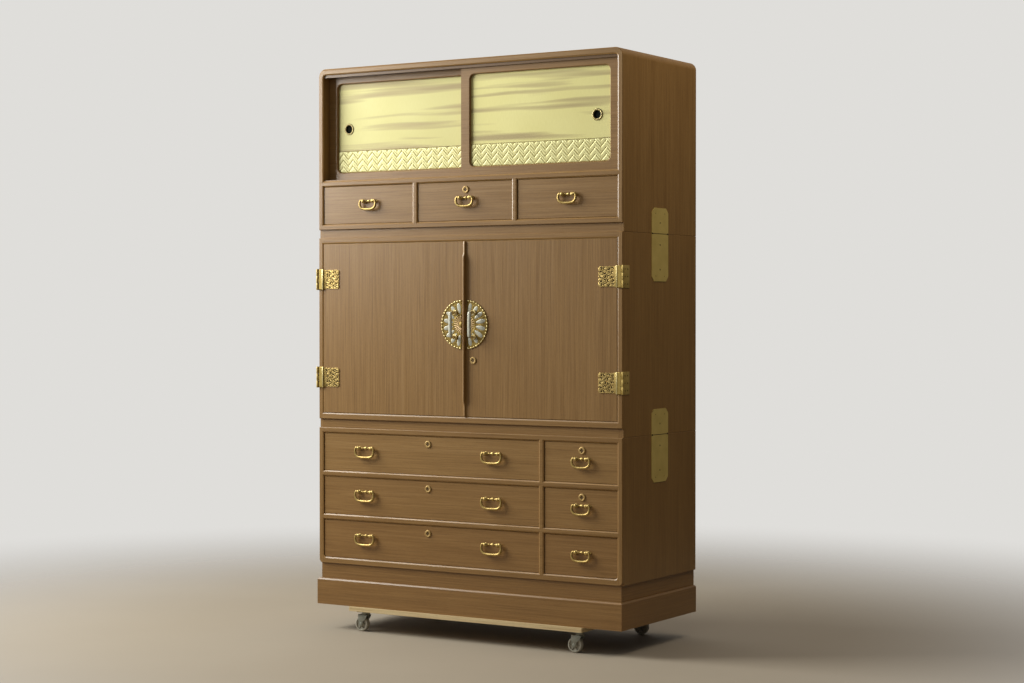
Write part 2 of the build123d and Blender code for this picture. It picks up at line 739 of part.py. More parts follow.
# ---- sliding doors -----------------------------------------------------------------------
sliding_z = (sill_z + seat_gap, head_z - head_gap)
sliding_width = inner - sliding_end_gap + sliding_overlap / 2
panel_z = (sliding_z[0] + sliding_bottom_rail, sliding_z[1] - sliding_top_rail)
panel_size = (sliding_width - 2 * sliding_stile, length(panel_z))
for side, sign, track, pull_from_edge in (("left", -1, rear_track, left_pull_from_edge),
                                          ("right", 1, front_track, right_pull_from_edge)):
    centre_x = sign * (inner - sliding_end_gap - sliding_width / 2)
    centre = (centre_x, middle(panel_z))
    face = front + track
    with BuildPart() as frame:
        with BuildSketch(Plane.XZ.offset(-face - sliding_thickness)):
            with Locations((centre_x, middle(sliding_z))):
                Rectangle(sliding_width, length(sliding_z))
            with Locations(centre):
                RectangleRounded(*panel_size, sliding_corner, mode=Mode.SUBTRACT)
        extrude(amount=sliding_thickness)
        chamfer(frame.faces().sort_by(Axis.Y)[0].inner_wires()[0].edges(), sliding_bevel)
    write(f"{side}_sliding_frame", [frame.part])

    pull_at = (centre_x + sign * (panel_size[0] / 2 - pull_from_edge),
               centre[1] - round_pull_drop)
    panel_face = face + panel_inset
    fitted = (panel_size[0] - 2 * panel_fit, panel_size[1] - 2 * panel_fit)
    with BuildPart() as panel:
        with BuildSketch(Plane.XZ.offset(-panel_face - panel_thickness)):
            with Locations(centre):
                RectangleRounded(*fitted, sliding_corner - panel_fit)
            with Locations(pull_at):
                Circle(round_pull_radius + panel_fit, mode=Mode.SUBTRACT)
        extrude(amount=panel_thickness)
    with BuildPart() as woven_band:
        with BuildSketch(Plane.XZ.offset(-panel_face)):
            with Locations(centre):
                RectangleRounded(*fitted, sliding_corner - panel_fit)
            with Locations((centre_x, centre[1] + woven_band_height / 2)):
                Rectangle(fitted[0], fitted[1] - woven_band_height, mode=Mode.SUBTRACT)
        extrude(amount=woven_band_thickness)
    write(f"{side}_sliding_panel", [panel.part, woven_band.part])

    with BuildPart() as cup:
        with BuildSketch(Plane.XZ.offset(-panel_face - panel_thickness)):
            with Locations(pull_at):
                RegularPolygon(round_pull_radius, round_pull_facets)
        extrude(amount=panel_thickness + round_pull_flange)
        with BuildSketch(Plane.XZ.offset(-panel_face - panel_thickness + round_pull_floor)):
            with Locations(pull_at):
                RegularPolygon(round_pull_cup, round_pull_facets)
        extrude(amount=panel_thickness + round_pull_flange, mode=Mode.SUBTRACT)
    write(f"{side}_sliding_pull", [cup.part])

# ---- castered board ----------------------------------------------------------------------
base_y = (front - base_board_front, front - base_board_front + base_board_depth)
with BuildPart() as caster_board:
    with BuildSketch(Plane.XY.offset(caster_height)):
        with Locations((0, middle(base_y))):
            RectangleRounded(base_board_width, base_board_depth, base_board_corner)
    extrude(amount=base_board_thickness)
write("caster_board", [caster_board.part])

caster_x = (-base_board_width / 2 + caster_from_left, base_board_width / 2 - caster_from_right)
pivots = {
    "front_left": (caster_x[0], front + caster_front),
    "front_right": (caster_x[1], front + caster_front),
    "rear_left": (caster_x[0], front + caster_rear),
    "rear_right": (caster_x[1], front + caster_rear),
}
plate_z = caster_height - caster_plate_thickness
head_top = plate_z - running_gap
crown_z = head_top - fork_head_height

mount_plates = []
for pivot in pivots.values():
    with BuildPart() as mount_plate:
        with BuildSketch(Plane.XY.offset(plate_z)):
            with Locations(pivot):
                Rectangle(caster_plate, caster_plate)
                bore(kingpin_radius)
        extrude(amount=caster_plate_thickness)
    mount_plates.append(mount_plate.part)
write("caster_plates", mount_plates)


def caster_fork(name, pivot):
    """A swivel fork trailing towards -X: head with its kingpin, two cheeks, the axle."""
    axle = (pivot[0] - caster_trail, wheel_radius)
    inner_half = wheel_width / 2 + wheel_side_gap
    crown_middle = pivot[0] - fork_head_radius / 2
    with BuildPart() as head:
        with BuildSketch(Plane.XY.offset(crown_z - fork_sheet)):
            with Locations((crown_middle, pivot[1])):
                Rectangle(3 * fork_head_radius, 2 * inner_half)
        extrude(amount=fork_sheet)
        with BuildSketch(Plane.XY.offset(crown_z)):
            with Locations(pivot):
                RegularPolygon(fork_head_radius, faceted)
        extrude(amount=fork_head_height)
        with BuildSketch(Plane.XY.offset(head_top)):
            with Locations(pivot):
                RegularPolygon(kingpin_radius, faceted)
        extrude(amount=caster_plate_thickness)
    pieces = [head.part]
    for sign in (-1, 1):
        with BuildPart() as cheek:
            with BuildSketch(Plane.XZ.offset(-pivot[1] - sign * inner_half)):
                with Locations((crown_middle, crown_z - fork_sheet / 2)):
                    Rectangle(3 * fork_head_radius, fork_sheet)
                with Locations(axle):
                    RegularPolygon(fork_boss_radius, fork_boss_facets)
                make_hull()
            extrude(amount=-sign * fork_sheet)
        pieces.append(cheek.part)
    with BuildPart() as axle_pin:
        with BuildSketch(Plane.XZ.offset(-pivot[1] - inner_half)):
            with Locations(axle):
                RegularPolygon(axle_radius, faceted)
        extrude(amount=2 * inner_half)
    pieces.append(axle_pin.part)
    write(name, pieces)


def caster_wheel(name, pivot):
    """A wheel bored for its axle, its bottom on the floor."""
    with BuildPart() as wheel:
        with BuildSketch(Plane.XZ.offset(-pivot[1] - wheel_width / 2)):
            with Locations((pivot[0] - caster_trail, wheel_radius)):
                RegularPolygon(wheel_radius, wheel_facets, rotation=180 / wheel_facets)
                bore(axle_radius)
        extrude(amount=wheel_width)
    write(name, [wheel.part])


for place, pivot in pivots.items():
    caster_fork(f"{place}_caster_fork", pivot)
    caster_wheel(f"{place}_caster_wheel", pivot)
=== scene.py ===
import bmesh
import bpy
import json
import math
from mathutils import Matrix, Vector


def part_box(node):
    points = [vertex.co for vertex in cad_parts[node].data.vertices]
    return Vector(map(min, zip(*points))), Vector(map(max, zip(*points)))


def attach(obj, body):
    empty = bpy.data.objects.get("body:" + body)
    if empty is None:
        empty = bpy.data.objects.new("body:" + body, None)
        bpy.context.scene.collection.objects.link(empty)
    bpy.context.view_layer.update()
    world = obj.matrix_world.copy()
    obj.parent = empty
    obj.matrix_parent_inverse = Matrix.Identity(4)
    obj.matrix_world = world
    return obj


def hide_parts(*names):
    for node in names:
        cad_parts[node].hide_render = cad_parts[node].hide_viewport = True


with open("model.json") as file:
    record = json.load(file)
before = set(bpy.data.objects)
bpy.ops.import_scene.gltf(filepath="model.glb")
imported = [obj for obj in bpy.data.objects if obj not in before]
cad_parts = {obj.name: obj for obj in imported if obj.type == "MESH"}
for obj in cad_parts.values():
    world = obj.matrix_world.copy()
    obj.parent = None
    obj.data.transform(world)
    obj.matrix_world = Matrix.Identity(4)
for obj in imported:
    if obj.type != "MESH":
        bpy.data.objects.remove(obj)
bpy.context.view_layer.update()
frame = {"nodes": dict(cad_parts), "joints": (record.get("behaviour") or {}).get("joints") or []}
nodes = frame["nodes"]
joint_at = {j["name"]: Vector(j["pos_m"]) for j in frame["joints"] if "pos_m" in j}

MM = 0.001
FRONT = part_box("middle_case")[0].y  # the face frames' front
BACK = 0.2398  # the back boards' outer face
HALF_WIDTH = 0.530
INNER = 0.514  # half the width between the sides
SILL = 1.366  # under the sliding doors
UNDER_TOP = 1.689  # under the top board
CHEST = "chest"
scene = bpy.context.scene
SIDES = (("left", -1), ("right", 1))


# ---- node building ----
class Nodes:
    """A node tree, with short calls that add linked nodes to it."""

    def __init__(self, tree):
        self.tree = tree

    def link(self, value, socket):
        if isinstance(value, bpy.types.NodeSocket):
            self.tree.links.new(value, socket)
        else:
            socket.default_value = value

    def node(self, kind, inputs=(), **settings):
        made = self.tree.nodes.new("ShaderNode" + kind)
        for key, value in settings.items():
            setattr(made, key, value)
        for key, value in dict(inputs).items():
            self.link(value, made.inputs[key])
        return made

    def math(self, operation, a, b=0.0, c=0.0, clamp=False):
        return self.node("Math", {0: a, 1: b, 2: c}, operation=operation, use_clamp=clamp).outputs[0]

    def times(self, first, *others):
        for other in others:
            first = self.math("MULTIPLY", first, other)
        return first

    def scaled(self, value, by, plus, clamp=False):
        return self.math("MULTIPLY_ADD", value, by, plus, clamp)

    def varied(self, noise, amount, around):
        """The level around which a noise moves things up and down by an amount."""
        return self.scaled(self.math("SUBTRACT", noise, 0.5), amount, around)

    def above(self, value, limit):
        return self.math("GREATER_THAN", value, limit)

    def below(self, value, limit):
        return self.math("LESS_THAN", value, limit)

    def fade(self, value, low, high, start, end):
        """Goes smoothly from start to end while the value goes from low to high."""
        inputs = {0: value, 1: low, 2: high, 3: start, 4: end}
        return self.node("MapRange", inputs, interpolation_type="SMOOTHSTEP").outputs[0]


class Shader(Nodes):
    """A material's nodes, with its principled shader."""

    def __init__(self, name, **values):
        self.material = bpy.data.materials.new(name)
        self.material.use_nodes = True
        super().__init__(self.material.node_tree)
        self.main = self.tree.nodes["Principled BSDF"]
        for socket, value in values.items():
            self.set(socket, value)

    def set(self, socket, value):
        self.link(value, self.main.inputs[socket.replace("_", " ")])

    def where(self):
        """Object coordinates, which are the part's own frame in metres on a CAD node."""
        return self.node("TexCoord").outputs["Object"]

    def split(self, vector):
        return self.node("SeparateXYZ", {0: vector}).outputs

    def vector(self, x, y, z):
        return self.node("CombineXYZ", {0: x, 1: y, 2: z}).outputs[0]

    def noise(self, vector, scale=1.0, detail=2.0, roughness=0.5):
        inputs = {"Vector": vector, "Scale": scale, "Detail": detail, "Roughness": roughness}
        return self.node("TexNoise", inputs).outputs[0]

    def mix(self, factor, a, b, blend="MIX"):
        inputs = {0: factor, 6: a, 7: b}
        return self.node("Mix", inputs, data_type="RGBA", blend_type=blend).outputs[2]

    def mix_vector(self, factor, a, b):
        return self.node("Mix", {0: factor, 4: a, 5: b}, data_type="VECTOR").outputs[1]

    def ramp(self, factor, stops):
        made = self.node("ValToRGB", {0: factor})
        elements = made.color_ramp.elements
        while len(elements) < len(stops):
            elements.new(0.5)
        for element, (position, color) in zip(elements, stops):
            element.position = position
            element.color = color
        return made.outputs[0]

    def bump(self, height, distance, strength):
        inputs = {"Height": height, "Distance": distance, "Strength": strength}
        self.set("Normal", self.node("Bump", inputs).outputs[0])


def srgb(*values):
    """A linear colour from 8-bit display values."""
    channels = [v / 255 for v in values]
    return (*[c / 12.92 if c < 0.04045 else ((c + 0.055) / 1.055) ** 2.4 for c in channels], 1)


# ---- wood ----
FINISHED = [(0.2, srgb(119, 85, 41)), (0.5, srgb(139, 103, 54)), (0.8, srgb(154, 118, 68))]
RAW = [(0.15, srgb(172, 144, 98)), (0.5, srgb(200, 176, 130)), (0.85, srgb(216, 195, 152))]
WAX_GLOSS = 0.56
ALONG_GRAIN = 0.012  # how much slower the grain changes along a board than across it
GRAIN_SWAY = 0.006
PLINTH_PROUD = 0.007


def grain_vector(s, parts, direction, seed):
    """Coordinates stretched along the grain: along X, along Z, by place, or around a frame."""
    x, y, z = parts
    wave = s.noise(s.vector(s.times(x, 1.3), s.math("ADD", y, seed), s.times(z, 1.3)), 2.2, 1)
    sway = s.times(s.math("SUBTRACT", wave, 0.5), GRAIN_SWAY)

    def stretched(along, across, third):
        return s.vector(s.times(along, ALONG_GRAIN), s.math("ADD", across, sway),
                        s.math("ADD", third, seed))

    lying = stretched(x, z, y)
    standing = stretched(z, x, y)
    if direction == "x":
        return lying
    if direction == "z":
        return standing
    from_middle = s.math("ABSOLUTE", x)
    outside = s.above(from_middle, INNER - 0.0001)
    if direction == "around":
        from_front = s.math("ADD", y, PLINTH_PROUD - FRONT)
        from_end = s.math("SUBTRACT", HALF_WIDTH + PLINTH_PROUD, from_middle)
        side_board = s.times(outside, s.below(from_end, from_front))
        return s.mix_vector(side_board, lying, stretched(y, z, x))
    upright = s.times(outside, s.below(z, UNDER_TOP - 0.0005))
    return s.mix_vector(upright, lying, standing)


def wood(name, direction="x", seed=0.0, shade=1.0, raw_behind=None, raw=False, stained=None,
         tint=(1, 1, 1), unwaxed=None):
    """Fine straight-grained wood: tinted and waxed outside, and plain where it is raw. Its colour
    can carry painted light and painted shade.
    """
    s = Shader(name, Specular_IOR_Level=WAX_GLOSS)
    parts = s.split(s.where())
    vector = grain_vector(s, parts, direction, seed)
    broad = s.noise(vector, 26, 2, 0.55)
    bands = s.noise(vector, 190, 3, 0.6)
    fibres = s.noise(vector, 560, 3, 0.65)
    drawn_in = s.node("VectorMath", {0: vector, 1: (9, 1, 1)}, operation="MULTIPLY").outputs[0]
    pores = s.noise(drawn_in, 900, 1, 0.5)
    tone = s.varied(fibres, 1.1, s.varied(bands, 0.6, s.varied(broad, 0.22, 0.5)))
    finished = s.ramp(tone, FINISHED)
    plain = s.ramp(tone, RAW)
    color = plain if raw else finished
    if raw_behind:
        color = s.mix(raw_behind(s, parts), finished, plain)
    if stained:
        # Painted shade: dark brown where the mask is 1, on the ribs that the top board shades.
        color = s.mix(s.times(stained(s, parts), 0.65), color, srgb(78, 53, 28))
    color = s.mix(s.times(s.above(pores, 0.63), 0.16), color, srgb(70, 44, 20))
    # Painted light and shade: this level and colour make a whole piece lighter or darker, redder or
    # paler, as light falls on it.
    color = s.mix(1.0, color, (*[shade * channel for channel in tint], 1), "MULTIPLY")
    s.set("Base Color", color)
    roughness = s.scaled(bands, 0.14, 0.5 if raw else 0.3)
    if unwaxed:
        dry = unwaxed(s, parts)
        roughness = s.scaled(dry, 0.5, roughness)
        s.set("Specular IOR Level", s.scaled(dry, -0.46, WAX_GLOSS))
    s.set("Roughness", roughness)
    s.bump(s.math("ADD", s.times(fibres, 0.7), s.times(bands, 0.5)), 0.0004, 0.35)
    return s.material


def inside_of_case(s, parts):
    """1 on the surfaces inside the cases, which are left raw."""
    x, y, z = parts
    behind_frame = s.scaled(s.above(z, SILL - 0.0005), 0.0345, FRONT + 0.0205)
    deep = s.above(y, behind_frame)
    between = s.below(s.math("ABSOLUTE", x), INNER + 0.0003)
    not_back = s.below(y, BACK - 0.0005)
    not_top = s.below(z, 1.7)
    return s.times(deep, between, not_back, not_top)


def head_rib_painted_shade(s, parts):
    """1 on the ribs under the top board, which guide the sliding doors, where their shade under the
    board is painted dark.
    """
    x, y, z = parts
    level = s.times(s.above(z, UNDER_TOP - 0.0081), s.below(z, UNDER_TOP - 0.0002))
    between = s.below(s.math("ABSOLUTE", x), INNER - 0.0005)
    return s.times(level, between, s.below(y, FRONT + 0.07))


def top_face(s, parts):
    """1 on the upper face of the top board, which is out of sight and left without wax."""
    low, high = 1.701, 1.707
    return s.scaled(parts[2], 1 / (high - low), -low / (high - low), clamp=True)


def behind_front(depth):
    """A mask that is 1 from a depth behind the face frames."""
    def mask(s, parts):
        return s.above(parts[1], FRONT + depth)
    return mask


# ---- metal and paper ----
def metal(name, color, dark, roughness, metallic=0.6, bump=0.00015, scale=260):
    """Cast or sheet metal with a lively surface, mottled with darker patches."""
    s = Shader(name, Metallic=metallic)
    where = s.where()
    broad = s.noise(where, scale * 0.25, 2)
    fine = s.noise(where, scale, 3, 0.6)
    patches = s.scaled(broad, 1.6, -0.45, clamp=True)
    s.set("Base Color", s.mix(patches, srgb(*dark), srgb(*color)))
    s.set("Roughness", s.scaled(fine, 0.2, roughness - 0.1))
    s.bump(fine, bump, 0.5)
    return s.material


def gold_paper(name, shift, shade):
    """Pale gold leaf on paper, with long wisps of mist that shift moves to other places."""
    s = Shader(name, Metallic=0.12, Specular_IOR_Level=0.4)
    x, y, z = s.split(s.where())
    drift = s.noise(s.vector(x, y, z), 2.5, 1)
    across = s.scaled(drift, 0.02, z)
    wisps = s.noise(s.vector(s.times(x, 1.7), s.times(across, 40), shift), 1.0, 1.5, 0.5)
    hairs = s.noise(s.vector(s.times(x, 5), s.times(across, 150), 1.3), 1, 2)
    mist = s.ramp(s.varied(hairs, 0.12, wisps),
                  [(0.52, (0, 0, 0, 1)), (0.58, (0.5, 0.5, 0.5, 1)), (0.7, (1, 1, 1, 1))])
    cloth = s.noise(s.vector(s.times(x, 420), 0.0, s.times(z, 60)), 1, 2)
    leaf = s.noise(s.vector(s.times(x, 9.2), 0, s.times(z, 9.2)), 1, 0)
    gold = s.mix(leaf, srgb(210, 200, 130), srgb(220, 212, 146))
    gold = s.mix(1.0, gold, (shade, shade, shade, 1), "MULTIPLY")
    gold = s.mix(s.times(cloth, 0.3), gold, srgb(186, 172, 100))
    s.set("Base Color", s.mix(s.times(mist, 0.85), gold, srgb(160, 140, 98)))
    s.set("Roughness", s.scaled(cloth, 0.15, 0.38))
    s.bump(cloth, 0.0002, 0.3)
    return s.material


def plastic(name, color, dark, roughness=0.5, specular=0.5):
    """A moulded or painted surface, mottled between two tones."""
    s = Shader(name, Specular_IOR_Level=specular)
    mottled = s.noise(s.where(), 220, 3, 0.6)
    s.set("Base Color", s.mix(mottled, srgb(*dark), srgb(*color)))
    s.set("Roughness", s.scaled(mottled, 0.2, roughness))
    s.bump(mottled, 0.0002, 0.3)
    return s.material


GILT = metal("gilt_brass", (204, 176, 110), (166, 138, 78), 0.42, 0.75)
GILT_DARK = metal("gilt_brass_ground", (128, 104, 50), (96, 74, 32), 0.45)
# Painted shade: the dark sheet seen through the hinges' lace holes.
HINGE_HOLE_SHADE = metal("hinge_hole_painted_shade", (58, 42, 14), (40, 28, 8), 0.6, 0.1)
SILVER = metal("silvered_brass", (196, 194, 178), (174, 170, 152), 0.42, 0.3)
SHEET = metal("side_plate_brass", (216, 190, 112), (196, 170, 94), 0.5, 0.15, 0.0001, 90)
STEEL = metal("zinc_plate", (168, 168, 156), (128, 128, 116), 0.45)
ROSE = metal("rose_gilt", (222, 194, 150), (196, 162, 110), 0.45, 0.35)
FIELD = metal("olive_gilt", (166, 140, 68), (130, 104, 46), 0.45)
PALE_GILT = metal("pale_gilt", (234, 218, 164), (214, 190, 124), 0.35)
DARK = plastic("dark_cup", (20, 22, 16), (10, 11, 8), 0.75, 0.1)
LOCK_BRASS = metal("lock_brass", (200, 168, 108), (170, 138, 82), 0.5, 0.5)
LOCK_GROUND = metal("lock_ground", (132, 102, 60), (104, 78, 42), 0.5, 0.3)
# Painted shade: dark metal for the key's hole and the gap along the side seams.
KEYHOLE_AND_GAP_SHADE = metal("keyhole_and_gap_painted_shade", (76, 56, 30), (52, 38, 18), 0.6, 0.2)
LOCK_METALS = [GILT, LOCK_BRASS, LOCK_GROUND, KEYHOLE_AND_GAP_SHADE]
AGED = metal("aged_brass", (150, 136, 86), (96, 82, 44), 0.4, 0.4)
WHEEL = plastic("grey_wheel", (168, 162, 146), (148, 142, 126))
# Painted shade: a darker copy of the wheel's grey for the ribs in its recessed web.
WHEEL_RIB_SHADE = plastic("grey_wheel_ribs_painted_shade", (124, 118, 102), (104, 98, 84))


# ---- mesh building ----
def in_mm(*pairs, sign=1):
    """Pairs of a distance along an axis and a radius, given in millimetres."""
    return [(sign * along * MM, radius * MM) for along, radius in pairs]


def span(middle, half):
    return middle - half, middle + half


def around(count, turn=0.0):
    """Directions spread round a circle that faces the front."""
    angles = [2 * math.pi * (i + turn) / count for i in range(count)]
    return [Vector((math.cos(a), 0, math.sin(a))) for a in angles]


class Shape:
    """Vertices and faces gathered from several forms, with one material number each."""

    def __init__(self):
        self.vertices = []
        self.faces = []
        self.numbers = []

    def add(self, vertices, faces, number=0):
        start = len(self.vertices)
        self.vertices += [Vector(v) for v in vertices]
        self.faces += [[start + i for i in face] for face in faces]
        self.numbers += [number] * len(faces)

    def grid(self, rows, number=0, ends=True):
        """Skins rings of equal length, each row closed on itself."""
        count = len(rows[0])
        vertices = [p for row in rows for p in row]
        faces = []
        for start in range(0, len(vertices) - count, count):
            for j in range(count):
                k = (j + 1) % count
                faces.append((start + j, start + k, start + count + k, start + count + j))
        if ends:
            faces += [range(count)[::-1], range(len(vertices) - count, len(vertices))]
        self.add(vertices, faces, number)

    def lathe(self, profile, origin=(0, 0, 0), axis="y", segments=24, number=0, ends=True):
        """Turns (distance along the axis, radius) pairs about an axis through the origin."""
        rows = []
        for along, radius in profile:
            ring = []
            for i in range(segments):
                angle = 2 * math.pi * i / segments
                a, b = radius * math.cos(angle), radius * math.sin(angle)
                offset = {"x": (along, a, b), "y": (a, along, b), "z": (a, b, along)}[axis]
                ring.append(Vector(origin) + Vector(offset))
            rows.append(ring)
        self.grid(rows, number, ends=ends)

    def tube(self, points, radii, sides):
        """A round rod along points that lie in one plane, which faces the front."""
        axis = Vector((0, 1, 0))
        rows = []
        for i, point in enumerate(points):
            tangent = (points[min(i + 1, len(points) - 1)] - points[max(i - 1, 0)]).normalized()
            side = tangent.cross(axis).normalized()
            ring = []
            for j in range(sides):
                angle = 2 * math.pi * (j + 0.5) / sides
                ring.append(point + radii[i] * (side * math.cos(angle) + axis * math.sin(angle)))
            rows.append(ring)
        self.grid(rows)

    def block(self, low, high, bevel=0.0, number=0, segments=2):
        """A box with rounded edges."""
        made = bmesh.new()
        bmesh.ops.create_cube(made, size=1)
        low, high = Vector(low), Vector(high)
        for v in made.verts:
            v.co = low + Vector([(v.co[i] + 0.5) * (high[i] - low[i]) for i in range(3)])
        if bevel:
            bmesh.ops.bevel(made, geom=made.edges[:], offset=bevel, segments=segments,
                            profile=0.5, affect="EDGES")
        self.take(made, number)

    def side_block(self, sign, x, y, z, bevel=0.0, number=0, segments=2):
        """A block with its x span given for the right side, and mirrored where sign is -1."""
        self.block(*zip(sorted((sign * x[0], sign * x[1])), y, z), bevel, number, segments)

    def dome(self, centre, long_axis, length, width, height, number=0, out=(0, -1, 0), steps=10,
             taper=0.0):
        """Half of a flattened egg lying on a face: petals, flutes, beads and screw heads.

        With a taper it is wider towards the end that the long axis points to.
        """
        long_axis, out = Vector(long_axis).normalized(), Vector(out)
        side = long_axis.cross(out).normalized()
        rows = []
        for ring, rise in ((1.0, 0.0), (0.93, 0.45), (0.72, 0.78), (0.38, 0.96)):
            row = []
            for i in range(steps * 2):
                angle = math.pi * i / steps
                across = width / 2 * ring * math.sin(angle) * (1 + taper * math.cos(angle))
                row.append(Vector(centre) + long_axis * (length / 2 * ring * math.cos(angle))
                           + side * across + out * (height * rise))
            rows.append(row)
        self.grid(rows, number)

    def take(self, made, number=0):
        """Adds a bmesh's faces and frees it."""
        made.verts.index_update()
        self.add([v.co for v in made.verts], [[v.index for v in f.verts] for f in made.faces],
                 number)
        made.free()

    def mesh(self, name, materials, smooth=40):
        """A mesh with outward faces, smooth except over sharp angles."""
        data = bpy.data.meshes.new(name)
        data.from_pydata(self.vertices, [], self.faces)
        for material in materials:
            data.materials.append(material)
        data.polygons.foreach_set("material_index", self.numbers)
        made = bmesh.new()
        made.from_mesh(data)
        bmesh.ops.recalc_face_normals(made, faces=made.faces[:])
        for face in made.faces:
            face.smooth = True
        for edge in made.edges:
            if len(edge.link_faces) == 2 and edge.calc_face_angle(0) > math.radians(smooth):
                edge.smooth = False
        made.to_mesh(data)
        made.free()
        return data


def new_object(name, data):
    made = bpy.data.objects.new(name, data)
    scene.collection.objects.link(made)
    return made


def piece(name, data, body, location=(0, 0, 0), replaces=()):
    """An object that rides on a body and may stand for CAD nodes."""
    made = new_object(name, data)
    made.location = location
    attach(made, body)
    if replaces:
        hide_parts(*replaces)


def smooth_path(points, steps):
    """A Catmull-Rom curve through points."""
    points = [Vector(p) for p in points]
    path = []
    for i in range(len(points) - 1):
        a, b = points[max(i - 1, 0)], points[i]
        c, d = points[i + 1], points[min(i + 2, len(points) - 1)]
        for step in range(steps):
            t = step / steps
            path.append(0.5 * (2 * b + (c - a) * t + (2 * a - 5 * b + 4 * c - d) * t * t
                               + (3 * b - a - 3 * c + d) * t ** 3))
    path.append(points[-1])
    return path


def paint(node, material):
    """Gives a CAD node its finish."""
    nodes[node].data.materials.clear()
    nodes[node].data.materials.append(material)


def paint_wood(node, *finish, **looks):
    paint(node, wood(f"{node}_wood", *finish, **looks))


# ---- wood finishes on the CAD nodes ----
paint_wood("top_case", "by place", 0.3, raw_behind=inside_of_case, stained=head_rib_painted_shade,
           unwaxed=top_face)
paint_wood("middle_case", "by place", 1.7, raw_behind=inside_of_case)
# Painted shade: the lower case and the plinth are darker, the plinth also redder, as less light
# reaches them low down.
paint_wood("lower_case", "by place", 2.9, 0.94, raw_behind=inside_of_case)
paint_wood("plinth", "around", 4.1, 0.86, tint=(1.0, 0.95, 0.89))
paint("kimono_trays", wood("tray_wood", "x", 5.2, raw=True))
paint_wood("left_door", "z", 6.3)
paint_wood("right_door", "z", 7.9)
paint_wood("caster_board", "x", 9.4, raw=True)
paint("caster_plates", STEEL)
drawer_keys = sorted(n[:-7] for n in nodes if n.endswith("_drawer"))
for number, key in enumerate(drawer_keys):
    # Painted shade and sheen: lower rows of drawers are darker and redder, the top ones paler, as
    # light and sheen fade downwards.
    row = int(key[-1]) if key[-1].isdigit() else 1.5
    tint = (1.10 - 0.07 * row, 1.15 - 0.10 * row, 1.20 - 0.13 * row)  # redder further down
    paint_wood(f"{key}_drawer", "x", 10.0 + 1.37 * number, raw_behind=behind_front(0.0075),
               tint=tint)
# Painted light: the right door's gold paper is lighter and the left one's darker, against the fall
# of the light across them.
for side, seed, shift, shade in (("left", 23.1, 8.3, 0.91), ("right", 24.6, 3.9, 1.13)):
    paint_wood(f"{side}_sliding_frame", "x", seed)
    paint(f"{side}_sliding_panel", gold_paper(f"{side}_gold_leaf_paper", shift, shade))

# ---- eased edges round the openings of the cases, lighter as a painted highlight ----
EASE = 3.5 * MM
LEVEL, UPRIGHT = 0, 1


def ease_opening(shape, x, z, depths, radii=(0, 0, 0, 0)):
    """A bead in the bevel round an opening, from its lower left corner onwards, in lighter wood as a
    painted highlight.

    depths are those of the bead's inner edge on the level sides and on the upright ones.
    """
    rows = []
    signs = ((-1, -1), (1, -1), (1, 1), (-1, 1))
    for corner, ((sx, sz), radius) in enumerate(zip(signs, radii)):
        centre = (x[sx > 0] - sx * radius, z[sz > 0] - sz * radius)
        before, after = (LEVEL, UPRIGHT) if corner % 2 else (UPRIGHT, LEVEL)
        steps = 6 if radius else 1
        for i in range(steps + 1):
            share = i / steps
            depth = depths[before] + (depths[after] - depths[before]) * share
            if radius:
                angle = math.atan2(sz, sx) + (share - 0.5) * math.pi / 2
                way = Vector((math.cos(angle), math.sin(angle)))
            else:
                way = Vector((sx, sz))
            row = []
            for reach, y in ((EASE + 0.1 * MM, -0.06 * MM), (0.05 * MM, depth),
                             (0.05 * MM, EASE + 0.2 * MM)):
                reach += radius
                row.append(Vector((centre[0] + way.x * reach, FRONT + y, centre[1] + way.y * reach)))
            rows.append(row)
    shape.grid(rows + rows[:1], ends=False)


def front_of(node):
    """The opening that a drawer or a door closes, from the outline of its front."""
    low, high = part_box(node)
    gap = 0.8 * MM
    return (low.x - gap, high.x + gap), (low.z - 0.3 * MM, high.z + gap)


DRAWER_EASE = (3.2 * MM, 1.3 * MM)
ROUNDED = 9 * MM
beads = Shape()
for key in drawer_keys:
    rounded = (ROUNDED * (key == "wide_3"), ROUNDED * (key == "side_3"), 0, 0)
    ease_opening(beads, *front_of(f"{key}_drawer"), DRAWER_EASE, rounded)
left_x, door_z = front_of("left_door")
ease_opening(beads, (left_x[0], -left_x[0]), (door_z[0] - 0.5 * MM, door_z[1]), (1.3 * MM, 1.2 * MM))
ease_opening(beads, (-INNER, INNER), (SILL, UNDER_TOP), DRAWER_EASE, (0, 0, ROUNDED, ROUNDED))
# Painted highlight: the beads are in wood lighter than the cases round them.
piece("opening_edges", beads.mesh("opening_edges", [wood("edge_wood_painted_highlight", "by place", 3.7, 1.18)]),
      CHEST)

# ---- drawer handles ----
LOCK_RADIUS = 11.5 * MM
POST_FROM_END = 13.5  # post axis from the bail's outer end, in mm
GRIP_RISE = 2.65  # the grip's middle line above the bail's lowest point, in mm
FACE_BEHIND_PIN = 9.5 * MM
KNOB_TOP = 12 * MM  # a node that reaches higher than this above its pins has a lock too


